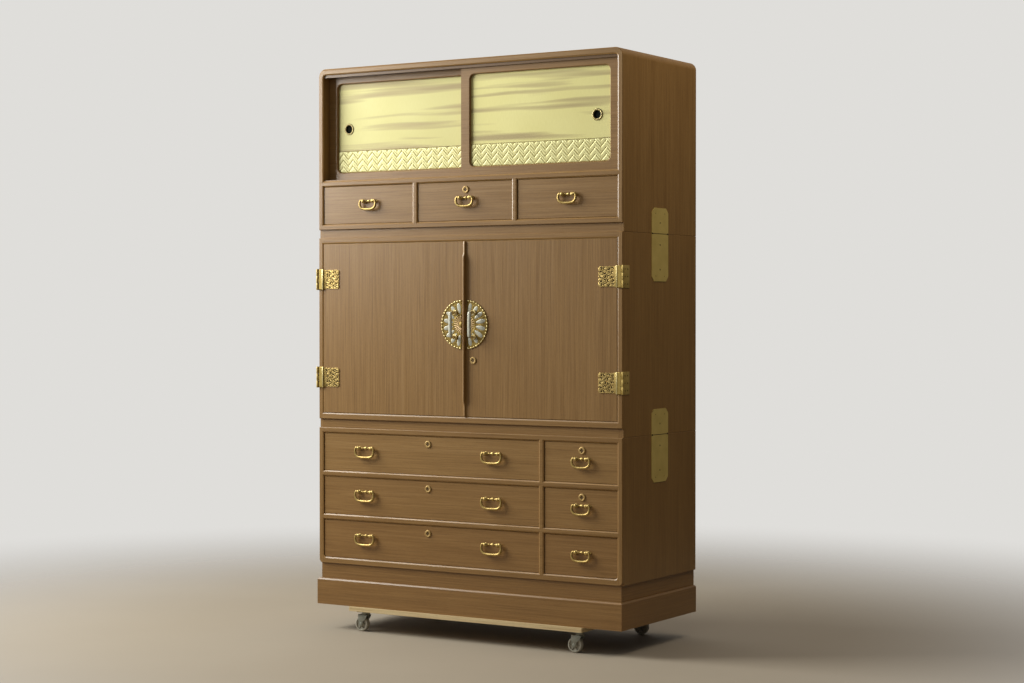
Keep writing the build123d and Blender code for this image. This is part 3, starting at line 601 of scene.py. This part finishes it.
def bail_mesh(width, drop):
    """A cast bail: ends turned in to the posts, round shoulders, a gently bowed grip."""
    out = width / 2
    post = out - POST_FROM_END
    low = -drop
    half = [(post + 2.8, 0.6), (post + 5.6, 2.2), (out - 4.6, 0.8), (out - 2.5, -4.6),
            (out - 2.1, low * 0.4), (out - 4.2, low * 0.67), (out - 10.2, low * 0.89),
            (out - 19, low * 0.98), (out * 0.2, low), (0.0, low)]
    points = [(-x * MM, 0, z * MM) for x, z in half]
    points += [(x * MM, 0, z * MM) for x, z in reversed(half[:-1])]
    path = smooth_path(points, 5)
    radii = [(3.0 + 0.8 * min(1, abs(p.z) / 0.016)) * MM for p in path]
    shape = Shape()
    shape.tube(path, radii, 10)
    for sign in (-1, 1):
        at = (sign * post * MM, 0, 0)
        shape.lathe(in_mm((-1.5, 0.8), (-1.5, 1.4), (4.1, 1.4), (4.1, 0.8), sign=sign), at, "x", 12)
        shape.lathe(in_mm((2.4, 1.2), (2.7, 2.6), (3.4, 3.1), (4.1, 2.6), (4.4, 1.2), sign=sign),
                    at, "x", 14)
    return shape.mesh("bail", [GILT])


def handle_form(shape, at, post_at):
    """Backplate turned like a baluster, and two knobbed posts that hold the bail."""
    pin = Vector(at)
    face = pin + Vector((0, FACE_BEHIND_PIN, 0))
    profile = [(-31, 0.2), (-30.4, 1.2), (-29, 1.9), (-27.5, 1.7), (-26.8, 2.6), (-25, 4.2),
               (-22.5, 5.0), (-20, 4.2), (-18.2, 2.5), (-16.4, 1.9), (-14.5, 2.3), (-12.5, 3.2),
               (-10.4, 2.4), (-8.5, 1.8), (-6.2, 2.1), (-4.0, 2.7), (-2.4, 3.6), (0, 4.1)]
    profile += [(-a, r) for a, r in reversed(profile[:-1])]
    arc = [math.pi * i / 12 for i in range(13)]
    shape.grid([[face + Vector((along, -0.9 * radius * math.sin(a), 1.2 * radius * math.cos(a))) * MM
                 for a in arc] for along, radius in profile])
    for sign in (-1, 1):
        shape.lathe(in_mm((0, 5.6), (-0.9, 5.9), (-1.9, 5.2), (-2.8, 3.4), (-4.4, 2.7), (-6.0, 3.1),
                          (-7.2, 5.0), (-9.2, 6.0), (-11.0, 5.3), (-12.2, 3.6), (-12.8, 1.5),
                          (-12.9, 0.2)), face + Vector((sign * post_at, 0, 0)), segments=18)


def lock_form(shape, at):
    """A round lock: a domed bezel around a sunk diamond, with a dark block of painted shade for the
    key's hole.
    """
    at = Vector(at)
    shape.lathe(in_mm((0, 0.1), (0, 10.4), (-1.0, 10.9), (-2.2, 10.5), (-3.2, 9.2), (-3.4, 8.0),
                      (-3.1, 7.4)), at, segments=32, number=1, ends=False)
    circle = around(32)
    corners = around(4)
    diamond = [corners[i // 8].lerp(corners[(i // 8 + 1) % 4], i % 8 / 8) for i in range(32)]
    rows = []
    for outline, reach, depth in ((circle, 7.4, -3.1), (diamond, 6.7, -2.9), (diamond, 6.3, -2.4),
                                  (diamond, 5.9, -1.6), (diamond, 0.1, -1.6)):
        rows.append([at + (way * reach + Vector((0, depth, 0))) * MM for way in outline])
    shape.grid(rows[:3], 1, False)
    shape.grid(rows[2:], 2, False)
    # Painted shade: a dark block on the diamond stands for the key's hole.
    shape.block(at + Vector((-0.7, -1.9, -2.6)) * MM, at + Vector((0.7, -1.2, 2.6)) * MM,
                0.2 * MM, 3, 1)


def bail_span(key):
    """Outer width of the bails on a drawer."""
    low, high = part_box(next(n for n in nodes if n.startswith(f"{key}_bail")))
    return high.x - low.x


bails = {}
for name, at in joint_at.items():
    if name.endswith("_swing"):
        node = name[:-6]
        low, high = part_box(node)
        width = round((high.x - low.x) / MM, 1)
        if width not in bails:
            bails[width] = bail_mesh(width, (at.z - low.z) / MM - GRIP_RISE)
        piece("fine_" + node, bails[width], node + "_body", at, [node])

for key in drawer_keys:
    posts = f"{key}_handle_posts"
    low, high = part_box(posts)
    pins = [at for name, at in joint_at.items() if name.startswith(f"{key}_bail")]
    shape = Shape()
    for at in pins:
        handle_form(shape, at, bail_span(key) / 2 - POST_FROM_END * MM)
    face = pins[0].y + FACE_BEHIND_PIN
    middle_x = sum(at.x for at in pins) / len(pins)
    if high.z - pins[0].z > KNOB_TOP:
        lock_form(shape, (middle_x, face, high.z - LOCK_RADIUS))
    data = shape.mesh(posts + "_fine", LOCK_METALS)
    piece("fine_" + posts, data, f"{key}_drawer_box", replaces=[posts])


# ---- door pulls: sixteen-petalled plates, each door with a half ----
PLATE_RADIUS = 72 * MM
HANDLE_FROM_MIDDLE = 24 * MM
DOOR_LOCK_X = 33 * MM


def ring_of(shape, middle, count, at, length, width, height, number, depth, turn=0.5, taper=0.0,
            steps=8):
    """Domes round a centre, each pointing outwards: at and depth are its place, in mm."""
    for out in around(count, turn):
        centre = middle + (out * at + Vector((0, -depth, 0))) * MM
        shape.dome(centre, out, length * MM, width * MM, height * MM, number, steps=steps,
                   taper=taper)


def cut_mesh(data, planes):
    """Removes what lies outside each plane, and closes the cuts."""
    made = bmesh.new()
    made.from_mesh(data)
    for point, normal in planes:
        geometry = made.verts[:] + made.edges[:] + made.faces[:]
        cut = bmesh.ops.bisect_plane(made, geom=geometry, dist=1e-7, plane_co=point,
                                     plane_no=normal, clear_outer=True)
        edges = [e for e in cut["geom_cut"] if isinstance(e, bmesh.types.BMEdge)]
        bmesh.ops.holes_fill(made, edges=edges, sides=0)
    made.to_mesh(data)
    made.free()
    return data


def kiku_plate(sign, straight, centre_z, face):
    """Half of the plate, cut from a whole one along its straight edge."""
    whole = Shape()
    middle = Vector((straight, face, centre_z))
    whole.lathe(in_mm((0.0, 71.2), (-1.6, 71.6), (-2.8, 70.8), (-3.0, 69.6), (-2.4, 68.6),
                      (-1.7, 68.0), (-1.5, 31.0), (-2.2, 30.2), (-2.3, 29.4), (-2.0, 28.6),
                      (-1.8, 27.6), (-1.8, 9.4), (-3.2, 8.6), (-4.2, 5.5), (-4.6, 2.5),
                      (-4.7, 0.1)), middle, segments=128)
    ring_of(whole, middle, 44, 69.6, 5.0, 7.6, 2.2, 4, 1.6)
    ring_of(whole, middle, 16, 48.0, 34, 12.6, 0.8, 1, 1.4, taper=0.28)
    ring_of(whole, middle, 16, 50.0, 26, 2.6, 1.0, 0, 1.4, turn=0)
    ring_of(whole, middle, 24, 18.5, 20, 3.4, 1.2, 3, 1.7)
    data = whole.mesh("whole_plate", [FIELD, SILVER, GILT_DARK, ROSE, PALE_GILT])
    return cut_mesh(data, [((straight, 0, 0), (-sign, 0, 0))])


def pull_handle(post_x, centre_z, face, bar_y):
    """An upright silvered bar on two brass posts with flower-like feet."""
    shape = Shape()
    reach = 39
    half = [(3.0, 1 - reach), (0.8, 3 - reach), (0, 8 - reach), (-0.4, -18)]
    points = half + [(-0.5, 0)] + [(y, -z) for y, z in reversed(half)]
    path = smooth_path([(post_x, bar_y + y * MM, centre_z + z * MM) for y, z in points], 4)
    rows = []
    for point in path:
        end = 1 - abs(point.z - centre_z) / (reach * MM)
        width = (2.6 + 3.2 * min(1.0, (max(end, 0) / 0.14)) ** 0.5) * MM
        rows.append([point + Vector((width * way.x, 3.5 * MM * way.z, 0)) for way in around(14)])
    shape.grid(rows)
    for end in (-1, 1):
        foot = Vector((post_x, face, centre_z + end * 36 * MM))
        shape.lathe(in_mm((-1.5, 7.6), (-3.0, 7.9), (-4.3, 6.9), (-5.2, 5.0), (-6.2, 3.4),
                          (-8.4, 3.2), (-10.0, 4.6), (-12.6, 5.9), (-15.4, 5.6), (-17.8, 4.2),
                          (-19.0, 3.3), (-24.5, 2.9), (-26.0, 2.2)), foot, segments=20, number=1)
        ring_of(shape, foot, 8, 5.6, 5.4, 4.2, 2.0, 1, 3.6, turn=0, steps=5)
    return shape.mesh("pull_handle", [SILVER, PALE_GILT])


for side, sign in SIDES:
    low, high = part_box(f"{side}_door_pull")
    body = f"{side}_hinged_door"
    centre_z = high.z - PLATE_RADIUS
    straight = high.x if sign < 0 else low.x
    piece(f"{side}_kiku_plate", kiku_plate(sign, straight, centre_z, high.y), body,
          replaces=[f"{side}_door_pull"])
    post_x = straight + sign * HANDLE_FROM_MIDDLE
    handle = pull_handle(post_x, centre_z, high.y, low.y + 3.6 * MM)
    piece(f"{side}_pull_bar", handle, body)
    if side == "right":
        shape = Shape()
        lock_form(shape, (DOOR_LOCK_X, high.y, low.z + LOCK_RADIUS))
        piece("door_lock", shape.mesh("door_lock", LOCK_METALS), body)

# ---- meeting rib ----
low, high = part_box("meeting_rib")
shape = Shape()
proud, lower = 11.0, 5.4
length = (high.z - low.z) / MM
half = (high.x - low.x) / 2
middle_x = (high.x + low.x) / 2
side_view = [(0.4, 3.0), (2.0, 4.8), (5.0, lower), (30, lower), (36, lower + 0.6), (42, 8.6),
             (47, 10.6), (54, proud)]
section = [(-1, 0), (-1, -0.72), (-0.86, -0.9), (-0.55, -1), (0.55, -1), (0.86, -0.9), (1, -0.72),
           (1, 0)]
side_view += [(length - z, reach) for z, reach in reversed(side_view)]
shape.grid([[Vector((middle_x + half * x, high.y + reach * MM * y, low.z + z * MM))
             for x, y in section] for z, reach in side_view])
# Painted highlight: the rib's front faces get a much lighter, paler copy of its wood.
data = shape.mesh("meeting_rib_fine", [wood("rib_wood", "z", 31.2),
                                       wood("rib_front_painted_highlight", "z", 33.5, tint=(1.6, 1.8, 2.7))])
for polygon in data.polygons:
    if polygon.normal.y < -0.75:
        polygon.material_index = 1
piece("fine_meeting_rib", data, "right_hinged_door", replaces=["meeting_rib"])


# ---- hinges ----
def stroke(cx, cz, radius, start, end, width, count=9):
    """A crescent-shaped hole: a stroke along an arc that thins to both ends."""
    outer, inner = [], []
    for i in range(count):
        t = i / (count - 1)
        angle = math.radians(start + (end - start) * t)
        half = width / 2 * (0.22 + 0.78 * math.sin(math.pi * t) ** 0.7)
        for row, reach in ((outer, radius + half), (inner, radius - half)):
            row.append((cx + reach * math.cos(angle), cz + reach * math.sin(angle)))
    return outer + inner[::-1]


def lace_holes():
    """Curled holes in rows, each turned its own way, with dots between them."""
    holes = []
    for column, x in enumerate((8.2, 20.4, 32.6, 44.8)):
        for row, z in enumerate((-22.4, -11.2, 0.0, 11.2, 22.4)):
            start = (column * 137 + row * 83) % 360
            holes.append(stroke(x, z, 3.3, start, start + 245, 3.7))
            if column < 3 and row < 4:
                holes.append(stroke(x + 6.1, z + 5.6, 1.3, 0, 330, 2.3))
    return holes


def lace_outline():
    """The edge of the pierced leaf: large lobes at the corners, small ones between."""
    half, corner = 29.0, 8.4
    lower = [(0, -half)]
    for i in range(1, 24):
        t = i / 24
        lower.append((t * 46, -half + 0.3 + 1.2 * abs(math.cos(t * math.pi * 4))))
    for i in range(13):
        angle = math.radians(-95 + i * 13)
        lower.append((45.5 + corner * math.cos(angle), corner - half + corner * math.sin(angle)))
    side = [(51.4 + 1.9 * abs(math.sin(i / 20 * math.pi * 3)), 1.3 * i - 13) for i in range(1, 20)]
    return lower + side + [(x, -z) for x, z in reversed(lower)]


def pierced_leaf():
    """The lace part of a hinge as a filled curve with holes: x away from the block, z up."""
    curve = bpy.data.curves.new("lace", "CURVE")
    curve.dimensions = "2D"
    curve.fill_mode = "BOTH"
    curve.extrude = 0.6 * MM
    curve.bevel_depth = 0.35 * MM
    curve.bevel_resolution = 1
    for points in [lace_outline()] + lace_holes():
        spline = curve.splines.new("POLY")
        spline.points.add(len(points) - 1)
        for target, (x, z) in zip(spline.points, points):
            target.co = (x * MM, z * MM, 0, 1)
        spline.use_cyclic_u = True
    holder = new_object("lace_curve", curve)
    bpy.context.view_layer.update()
    data = bpy.data.meshes.new_from_object(holder)
    bpy.data.objects.remove(holder)
    data.transform(Matrix.Rotation(math.pi / 2, 4, "X"))
    made = bmesh.new()
    made.from_mesh(data)
    bmesh.ops.remove_doubles(made, verts=made.verts[:], dist=1e-6)
    bpy.data.meshes.remove(data)
    shape = Shape()
    shape.take(made)
    return shape


def hinge_barrel(shape, pin, low, high, number):
    """One knuckle with eased ends."""
    low, high = low - pin.z, high - pin.z
    ease = 0.4 * MM
    profile = [(low, 2.6 * MM), (low, 3.2 * MM), (low + ease, 3.5 * MM), (high - ease, 3.5 * MM),
               (high, 3.2 * MM), (high, 2.6 * MM)]
    shape.lathe(profile, pin, "z", 20, number)


def hinge_shade_sheet(shape, sign, level):
    """A dark sheet of painted shade that shows through the lace's holes."""
    shape.grid([[Vector((sign * (LACE_INNER - x * 0.96 * MM), y, level + z * 0.96 * MM))
                 for x, z in lace_outline()] for y in (FRONT + 0.6 * MM, FRONT + 0.15 * MM)], 1)


LACE_INNER = HALF_WIDTH - 23 * MM
BLOCK_INNER = HALF_WIDTH - 18.6 * MM
HINGE_HALF = 32 * MM
KNUCKLE_HALF = HINGE_HALF / 3
KNUCKLE_GAP = 0.2 * MM
LEAF = 1.8 * MM  # how far the case's leaves stand out at the side
lace = pierced_leaf()
# Painted shade: the block is in a darker brass than the rest of the hinge.
BLOCK = metal("hinge_block_painted_shade", (184, 158, 84), (158, 132, 66), 0.5)
BARREL = metal("hinge_barrel_brass", (206, 178, 100), (178, 150, 78), 0.55, 0.4)
HINGE_SIDE = metal("hinge_side_brass", (200, 172, 98), (170, 142, 74), 0.5, 0.2)


def door_leaf(shape, sign, pin, flip):
    """Lace with a dark sheet of painted shade behind it and screws, a plain strip, a block in darker
    brass with a pale strip along its edge as painted shade and highlight, a knuckle.
    """
    level = pin.z
    shape.add([Vector((sign * (LACE_INNER - v.x), FRONT - 0.45 * MM + v.y, level + v.z * flip))
               for v in lace.vertices], lace.faces)
    hinge_shade_sheet(shape, sign, level)
    shape.side_block(sign, (LACE_INNER - 0.6 * MM, BLOCK_INNER + 1 * MM),
                     (FRONT - 2.2 * MM, FRONT - 0.2 * MM), span(level, 29.6 * MM), 0.6 * MM, 3)
    for across, up in ((50.5, 17), (50.5, -17), (14.3, 17), (14.3, -17), (38.7, 0.5)):
        centre = (sign * (LACE_INNER - across * MM), FRONT - 1.3 * MM, level + up * flip * MM)
        shape.dome(centre, (1, 0, 0), 3.2 * MM, 3.2 * MM, 1.0 * MM, steps=5)
    shape.side_block(sign, (BLOCK_INNER, HALF_WIDTH - 0.4 * MM),
                     (FRONT - 4.5 * MM, FRONT - 0.3 * MM), span(level, HINGE_HALF), 2.6 * MM, 3, 1)
    # Painted highlight: a pale gilt strip along the block's edge, where light would catch it.
    shape.side_block(sign, (BLOCK_INNER + 0.2 * MM, BLOCK_INNER + 4.6 * MM),
                     (FRONT - 5.2 * MM, FRONT - 3.5 * MM), span(level, HINGE_HALF - 0.5 * MM),
                     0.9 * MM, 2)
    knuckle = span(level, KNUCKLE_HALF - KNUCKLE_GAP)
    hinge_barrel(shape, pin, *knuckle, 4)
    shape.side_block(sign, (HALF_WIDTH - 1.2 * MM, HALF_WIDTH + 3.4 * MM),
                     span(pin.y, 0.9 * MM), knuckle)


def case_leaf(shape, sign, pin):
    """Two knuckles with their webs, the pin, and a screwed leaf on the side of the case."""
    level = pin.z
    leaf_x = (HALF_WIDTH, HALF_WIDTH + LEAF)
    for knuckle in ((level - HINGE_HALF, level - KNUCKLE_HALF - KNUCKLE_GAP),
                    (level + KNUCKLE_HALF + KNUCKLE_GAP, level + HINGE_HALF)):
        hinge_barrel(shape, pin, *knuckle, 3)
        shape.side_block(sign, leaf_x, (pin.y, FRONT + 1.0 * MM), knuckle)
    shape.lathe(in_mm((-31.6, 1.5), (31.6, 1.5)), pin, "z", 12)
    shape.side_block(sign, leaf_x, (FRONT + 0.4 * MM, FRONT + 38 * MM), span(level, HINGE_HALF),
                     0.7 * MM, 1)
    for back in (12, 27):
        for rise in (-21, 0, 21):
            centre = (sign * (HALF_WIDTH + 1.6 * MM), FRONT + back * MM, level + rise * MM)
            shape.dome(centre, (0, 0, 1), 5.0 * MM, 5.0 * MM, 0.9 * MM, 2, (sign, 0, 0), 6)


door_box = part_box("left_door_hinges")
case_leaves = Shape()
for side, sign in SIDES:
    pin = joint_at[f"{side}_door_hinge"].copy()
    door_leaves = Shape()
    for pin.z, flip in ((door_box[0].z + HINGE_HALF, -1), (door_box[1].z - HINGE_HALF, 1)):
        door_leaf(door_leaves, sign, pin, flip)
        case_leaf(case_leaves, sign, pin)
    data = door_leaves.mesh(f"{side}_hinges_fine", [GILT, HINGE_HOLE_SHADE, PALE_GILT, BLOCK, BARREL])
    piece(f"{side}_fine_hinges", data, f"{side}_hinged_door",
          replaces=[f"{side}_door_hinges"])
data = case_leaves.mesh("case_hinges_fine", [GILT, HINGE_SIDE, GILT_DARK, BARREL])
piece("fine_case_hinge_leaves", data, CHEST, replaces=["case_hinge_leaves"])

# ---- side plates over the seams ----
paint("seam_plates", SHEET)
screws = Shape()
plate_low, plate_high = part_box("seam_plates")
plate_y = (plate_low.y + plate_high.y) / 2
plate_half = (plate_high.y - plate_low.y) / 2
seams = [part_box("lower_case")[1].z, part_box("middle_case")[1].z]
for seam in seams:
    for rise, y_offset in ((31, 0), (-32, 0), (-103, 0), (58, -28), (58, 28), (-122, -26),
                           (-122, 26)):
        for sign in (-1, 1):
            centre = (sign * (HALF_WIDTH + 1.4 * MM), plate_y + y_offset * MM, seam + rise * MM)
            size = (5.2 if y_offset == 0 else 3.0) * MM
            screws.dome(centre, (0, 0, 1), size, size, 0.7 * MM, 0, (sign, 0, 0), 6)
    # Painted shade: dark strips along the seam and notches at the plate's ends stand for the
    # shadowed gap between the cases.
    for sign in (-1, 1):
        left, right = sorted((sign * (HALF_WIDTH - 0.4 * MM), sign * (HALF_WIDTH + 1.75 * MM)))
        screws.block((left, plate_y - plate_half + 0.2 * MM, seam - 0.8 * MM),
                     (right, plate_y + plate_half - 0.2 * MM, seam + 0.8 * MM), 0, 1)
        for end in (-1, 1):
            notch_y = plate_y + end * (plate_half - 3.4 * MM)
            screws.block((left, notch_y - 3 * MM, seam - 2.2 * MM),
                         (right + 0.05 * MM, notch_y + 3 * MM, seam + 2.2 * MM), 0, 1)
piece("seam_screws_and_gap_shade", screws.mesh("seam_screws_and_gap_shade", [GILT_DARK, KEYHOLE_AND_GAP_SHADE]), CHEST)

# ---- sliding doors: woven band and round pulls ----
RELIEF = 1.25 * MM


def weave_material(face):
    """Gilt relief with shade painted into its hollows, darker the deeper they lie; face is the plane
    that the strips lie on.
    """
    s = Shader("woven_gold_painted_hollow_shade", Metallic=0.2)
    x, y, z = s.split(s.where())
    rise = s.math("DIVIDE", s.math("SUBTRACT", face, y), RELIEF, clamp=True)
    grain = s.noise(s.where(), 300, 2)
    # Painted shade: the gilt is darker the deeper the surface lies below the strips' tops.
    stops = [(0.0, srgb(152, 136, 68)), (0.35, srgb(200, 187, 116)), (0.8, srgb(226, 218, 154))]
    s.set("Base Color", s.ramp(s.scaled(grain, 0.2, s.math("SUBTRACT", rise, 0.1)), stops))
    s.set("Roughness", s.scaled(grain, 0.15, 0.34))
    s.bump(grain, 0.0002, 0.3)
    return s.material


BAND_EDGE = plastic("band_edge", (150, 132, 62), (112, 94, 42))
RISING = [(0.0, 0.02), (0.05, 0.3), (0.12, 0.6), (0.28, 0.7), (0.5, 0.78), (0.68, 0.84),
          (0.84, 0.88), (0.93, 0.6), (0.97, 0.2), (1.0, 0.02)]
FALLING = [(0.0, 0.02), (0.05, 0.4), (0.12, 0.85), (0.3, 0.96), (0.44, 0.88), (0.5, 0.45),
           (0.56, 0.86), (0.72, 0.95), (0.88, 0.85), (0.95, 0.4), (1.0, 0.02)]


def woven_band(low_x, high_x, low_z, high_z, face, corner):
    """Herringbone of rounded strips: each rising one laps over the falling pair beside it."""
    column, rise, repeat = 18.2 * MM, 19.0 * MM, 19.6 * MM
    over = 1.6 * MM
    shape = Shape()
    for c in range(math.ceil((high_x - low_x) / column)):
        rising = c % 2 == 0
        x0 = low_x + c * column
        for r in range(-2, math.ceil((high_z - low_z) / repeat) + 1):
            rings = []
            for t in (0.0, 0.15, 0.4, 0.7, 0.9, 1.0):
                climb = t if rising else 1 - t
                lift = 0.72 + 0.28 * min(1.0, climb / 0.5)
                z = low_z + r * repeat + climb * rise
                x = x0 + t * column
                if rising and t == 1.0:
                    x += over
                    z += over
                rings.append([Vector((x, face - h * lift * RELIEF, z + dz * repeat))
                              for dz, h in (RISING if rising else FALLING)])
            shape.grid(rings)
    cuts = [((low_x, 0, 0), (-1, 0, 0)), ((high_x, 0, 0), (1, 0, 0)), ((0, 0, low_z), (0, 0, -1)),
            ((0, 0, high_z), (0, 0, 1))]
    for sign, edge in ((-1, low_x), (1, high_x)):
        for angle in (15, 37.5, 60, 80):
            out = Vector((sign * math.cos(math.radians(angle)), 0, -math.sin(math.radians(angle))))
            centre = Vector((edge - sign * corner, 0, low_z + corner))
            cuts.append((centre + out * corner, out))
    return cut_mesh(shape.mesh("weave", [weave_material(face)], 30), cuts)


for side, sign in SIDES:
    body = f"{side}_sliding_door"
    low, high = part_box(f"{side}_sliding_panel")
    near, far = low.x + 0.3 * MM, high.x - 0.3 * MM
    data = woven_band(near, far, low.z + 0.3 * MM, low.z + 63.4 * MM, low.y + 0.1 * MM, 14.6 * MM)
    piece(f"{side}_woven_band", data, body)
    shape = Shape()
    shape.block((near, low.y - 0.4 * MM, low.z + 63.6 * MM),
                (far, low.y + 1.2 * MM, low.z + 65.4 * MM), 0.3 * MM, 0, 1)
    piece(f"{side}_band_edge", shape.mesh("band_edge", [BAND_EDGE]), body)
    low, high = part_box(f"{side}_sliding_pull")
    at = ((low.x + high.x) / 2, high.y, (low.z + high.z) / 2)
    shape = Shape()
    shape.lathe(in_mm((0, 0.1), (0, 13.9), (-3.05, 13.9), (-3.05, 17.2), (-3.8, 17.3), (-4.5, 16.4),
                      (-4.8, 14.6), (-4.5, 12.6), (-3.6, 11.4)), at, segments=40, ends=False)
    shape.lathe(in_mm((-0.6, 0.1), (-0.6, 10.4), (-3.8, 11.0), (-3.7, 11.5)), at, segments=40,
                number=1, ends=False)
    ring_of(shape, Vector(at), 26, 14.6, 4.2, 2.7, 1.1, 2, 4.5, turn=0, steps=4)
    data = shape.mesh(f"{side}_pull_fine", [AGED, DARK, PALE_GILT])
    piece(f"{side}_fine_pull", data, body, replaces=[f"{side}_sliding_pull"])

# ---- casters ----
def wheel_mesh():
    """A moulded wheel: rounded tread, raised rim, ribbed web and hub, on both sides; the ribs are
    darker as painted shade.
    """
    shape = Shape()
    half = [(0, 22.5), (5.6, 22.4), (7.4, 21.6), (8.3, 20.0), (8.3, 17.6), (7.2, 17.0),
            (4.6, 16.6), (4.4, 8.4), (7.6, 7.8), (8.4, 7.0), (8.4, 3.6), (8.0, 3.4)]
    profile = [(-a, r) for a, r in reversed(half)] + half[1:]
    shape.grid([[(way * radius + Vector((0, along, 0))) * MM for way in around(48)]
                for along, radius in profile + profile[:1]], ends=False)
    for side in (-1, 1):
        for i in range(6):
            turn = Matrix.Rotation(math.pi * i / 3, 4, "Y")
            rib = Shape()
            near, far = sorted((side * 4.2 * MM, side * 6.6 * MM))
            rib.block((7.4 * MM, near, -0.9 * MM), (17.2 * MM, far, 0.9 * MM), 0.3 * MM, segments=1)
            shape.add([turn @ v for v in rib.vertices], rib.faces, 1)
    return shape.mesh("caster_wheel", [WHEEL, WHEEL_RIB_SHADE], 35)


def fork_mesh(trail, drop):
    """A pressed fork seen from its swivel: head, crown, two tapering cheeks, axle bolt."""
    shape = Shape()
    crown = -8.0
    shape.lathe(in_mm((0.0, 4.0), (0.0, 9.8), (-0.8, 11.2), (-2.6, 11.9), (-5.6, 11.9), (-7.4, 11.0),
                      (-8.1, 9.5)), axis="z", segments=32)
    shape.lathe(in_mm((-1, 3.9), (2.4, 3.9), (2.7, 3.2)), axis="z", segments=16)
    shape.block((-24 * MM, -9.6 * MM, (crown - 2) * MM), (11.6 * MM, 9.6 * MM, crown * MM),
                0.6 * MM)
    axle = Vector((-trail, 0, drop))
    outline = [(11.4, crown - 0.1), (-22.6, crown - 0.1), (-21.5, drop + 9.0)]
    outline += [(axle.x + 7 * math.cos(math.radians(a)), axle.z + 7 * math.sin(math.radians(a)))
                for a in range(175, 336, 20)]
    outline += [(-4.5, drop + 7.0), (6.0, drop + 17.0)]
    outline = [Vector(point) for point in outline]
    centre = sum(outline, Vector((0, 0))) / len(outline)
    for sign in (-1, 1):
        rows = []
        for y, shrink in ((9.5, 0.5), (9.75, 0.0), (11.25, 0.0), (11.5, 0.5)):
            row = []
            for point in outline:
                away = point - centre
                x, z = centre + away * (1 - shrink / away.length)
                row.append(Vector((x, sign * y, z)) * MM)
            rows.append(row)
        shape.grid(rows)
        shape.lathe(in_mm((8.7, 5.4), (9.6, 5.4), (11.4, 5.0), (11.9, 4.4), (12.0, 2.6), (12.0, 0.1),
                          sign=sign), axle * MM, segments=18)
    shape.lathe(in_mm((-9.6, 2.9), (9.6, 2.9)), axle * MM, segments=16)
    return shape.mesh("caster_fork", [STEEL])


SWIVEL_TOP = 59.2 * MM
wheel = wheel_mesh()
for place in ("front_left", "front_right", "rear_left", "rear_right"):
    axle = joint_at[f"{place}_wheel_spin"]
    swivel = joint_at[f"{place}_caster_swivel"]
    top = Vector((swivel.x, swivel.y, SWIVEL_TOP))
    piece(f"{place}_fine_wheel", wheel, f"{place}_caster_wheel_body", axle,
          [f"{place}_caster_wheel"])
    fork = fork_mesh((swivel.x - axle.x) / MM, (axle.z - top.z) / MM)
    piece(f"{place}_fine_fork", fork, f"{place}_caster_fork_body", top,
          [f"{place}_caster_fork"])

# ---- floor, light and camera ----
floor = bpy.data.meshes.new("floor")
reach = 30.0
floor.from_pydata([(-reach, -reach, 0), (reach, -reach, 0), (reach, reach, 0), (-reach, reach, 0)],
                  [], [(0, 1, 2, 3)])
ground = Shader("pale_floor", Roughness=0.85)
place = ground.where()
mottle = ground.noise(place, 1.5, 3)
ground.set("Base Color", ground.mix(mottle, srgb(148, 135, 116), srgb(156, 143, 124)))
away = ground.node("VectorMath", {0: place}, operation="LENGTH").outputs[1]
ground.set("Alpha", ground.fade(away, 0.9, 3.4, 1.0, 0.0))
floor.materials.append(ground.material)
floor_object = new_object("floor", floor)


def area_light(name, location, target, size, power, color):
    """A soft lamp that faces its target and isn't seen itself."""
    data = bpy.data.lights.new(name, "AREA")
    data.shape = "RECTANGLE"
    data.size, data.size_y = size
    data.energy = power
    data.color = color
    lamp = new_object(name, data)
    lamp.location = location
    lamp.visible_camera = False
    lamp.rotation_euler = (Vector(target) - Vector(location)).to_track_quat("-Z", "Y").to_euler()
    return lamp


area_light("window", (-2.4, -1.24, 2.36), (0.17, -0.1, 2.1), (1.9, 2.1), 178, (0.97, 1.0, 0.985))
area_light("room", (2.2, -4.2, 2.9), (0.1, 0, 1.5), (2.4, 1.8), 14, (1.0, 0.93, 0.84))
side_lamp = area_light("side", (1.5, 0.2, 2.7), (0.5, 0.0, 1.4), (1.0, 0.8), 14.5, (1.0, 0.92, 0.80))
side_lamp.visible_glossy = False

# A dim room that is lighter above, with a pale wall high on the left.
WALL_WAY = (-0.78, 0.30, 0.55)
LIGHT_WAY = (-0.5, -0.1, 0.86)
BACKDROP = 0.74
world = bpy.data.worlds.new("studio")
world.use_nodes = True
sky = Nodes(world.node_tree)
way = sky.node("TexCoord").outputs["Generated"]
toward_wall = sky.node("VectorMath", {0: way, 1: WALL_WAY}, operation="DOT_PRODUCT").outputs[1]
toward_light = sky.node("VectorMath", {0: way, 1: LIGHT_WAY}, operation="DOT_PRODUCT").outputs[1]
level = sky.math("MAXIMUM", sky.fade(toward_wall, 0.45, 0.95, 0.0, 0.75),
                 sky.fade(toward_light, -0.5, 0.9, 0.02, 0.32))
seen = sky.node("LightPath").outputs["Is Camera Ray"]
background = sky.tree.nodes["Background"]
background.inputs["Color"].default_value = (1.0, 0.985, 0.95, 1)
sky.link(sky.node("Mix", {0: seen, 2: level, 3: BACKDROP}).outputs[0], background.inputs["Strength"])
scene.world = world

camera_data = bpy.data.cameras.new("camera")
camera_data.lens = 72.54
camera_data.sensor_width = 36
camera_data.clip_end = 100
camera = new_object("camera", camera_data)
yaw, pitch = 0.5587, -0.0144
camera.location = (3.3203, -5.2550, 0.96805)
camera.rotation_euler = (math.pi / 2 + pitch, 0, yaw)
scene.camera = camera
scene.view_settings.view_transform = "Standard"
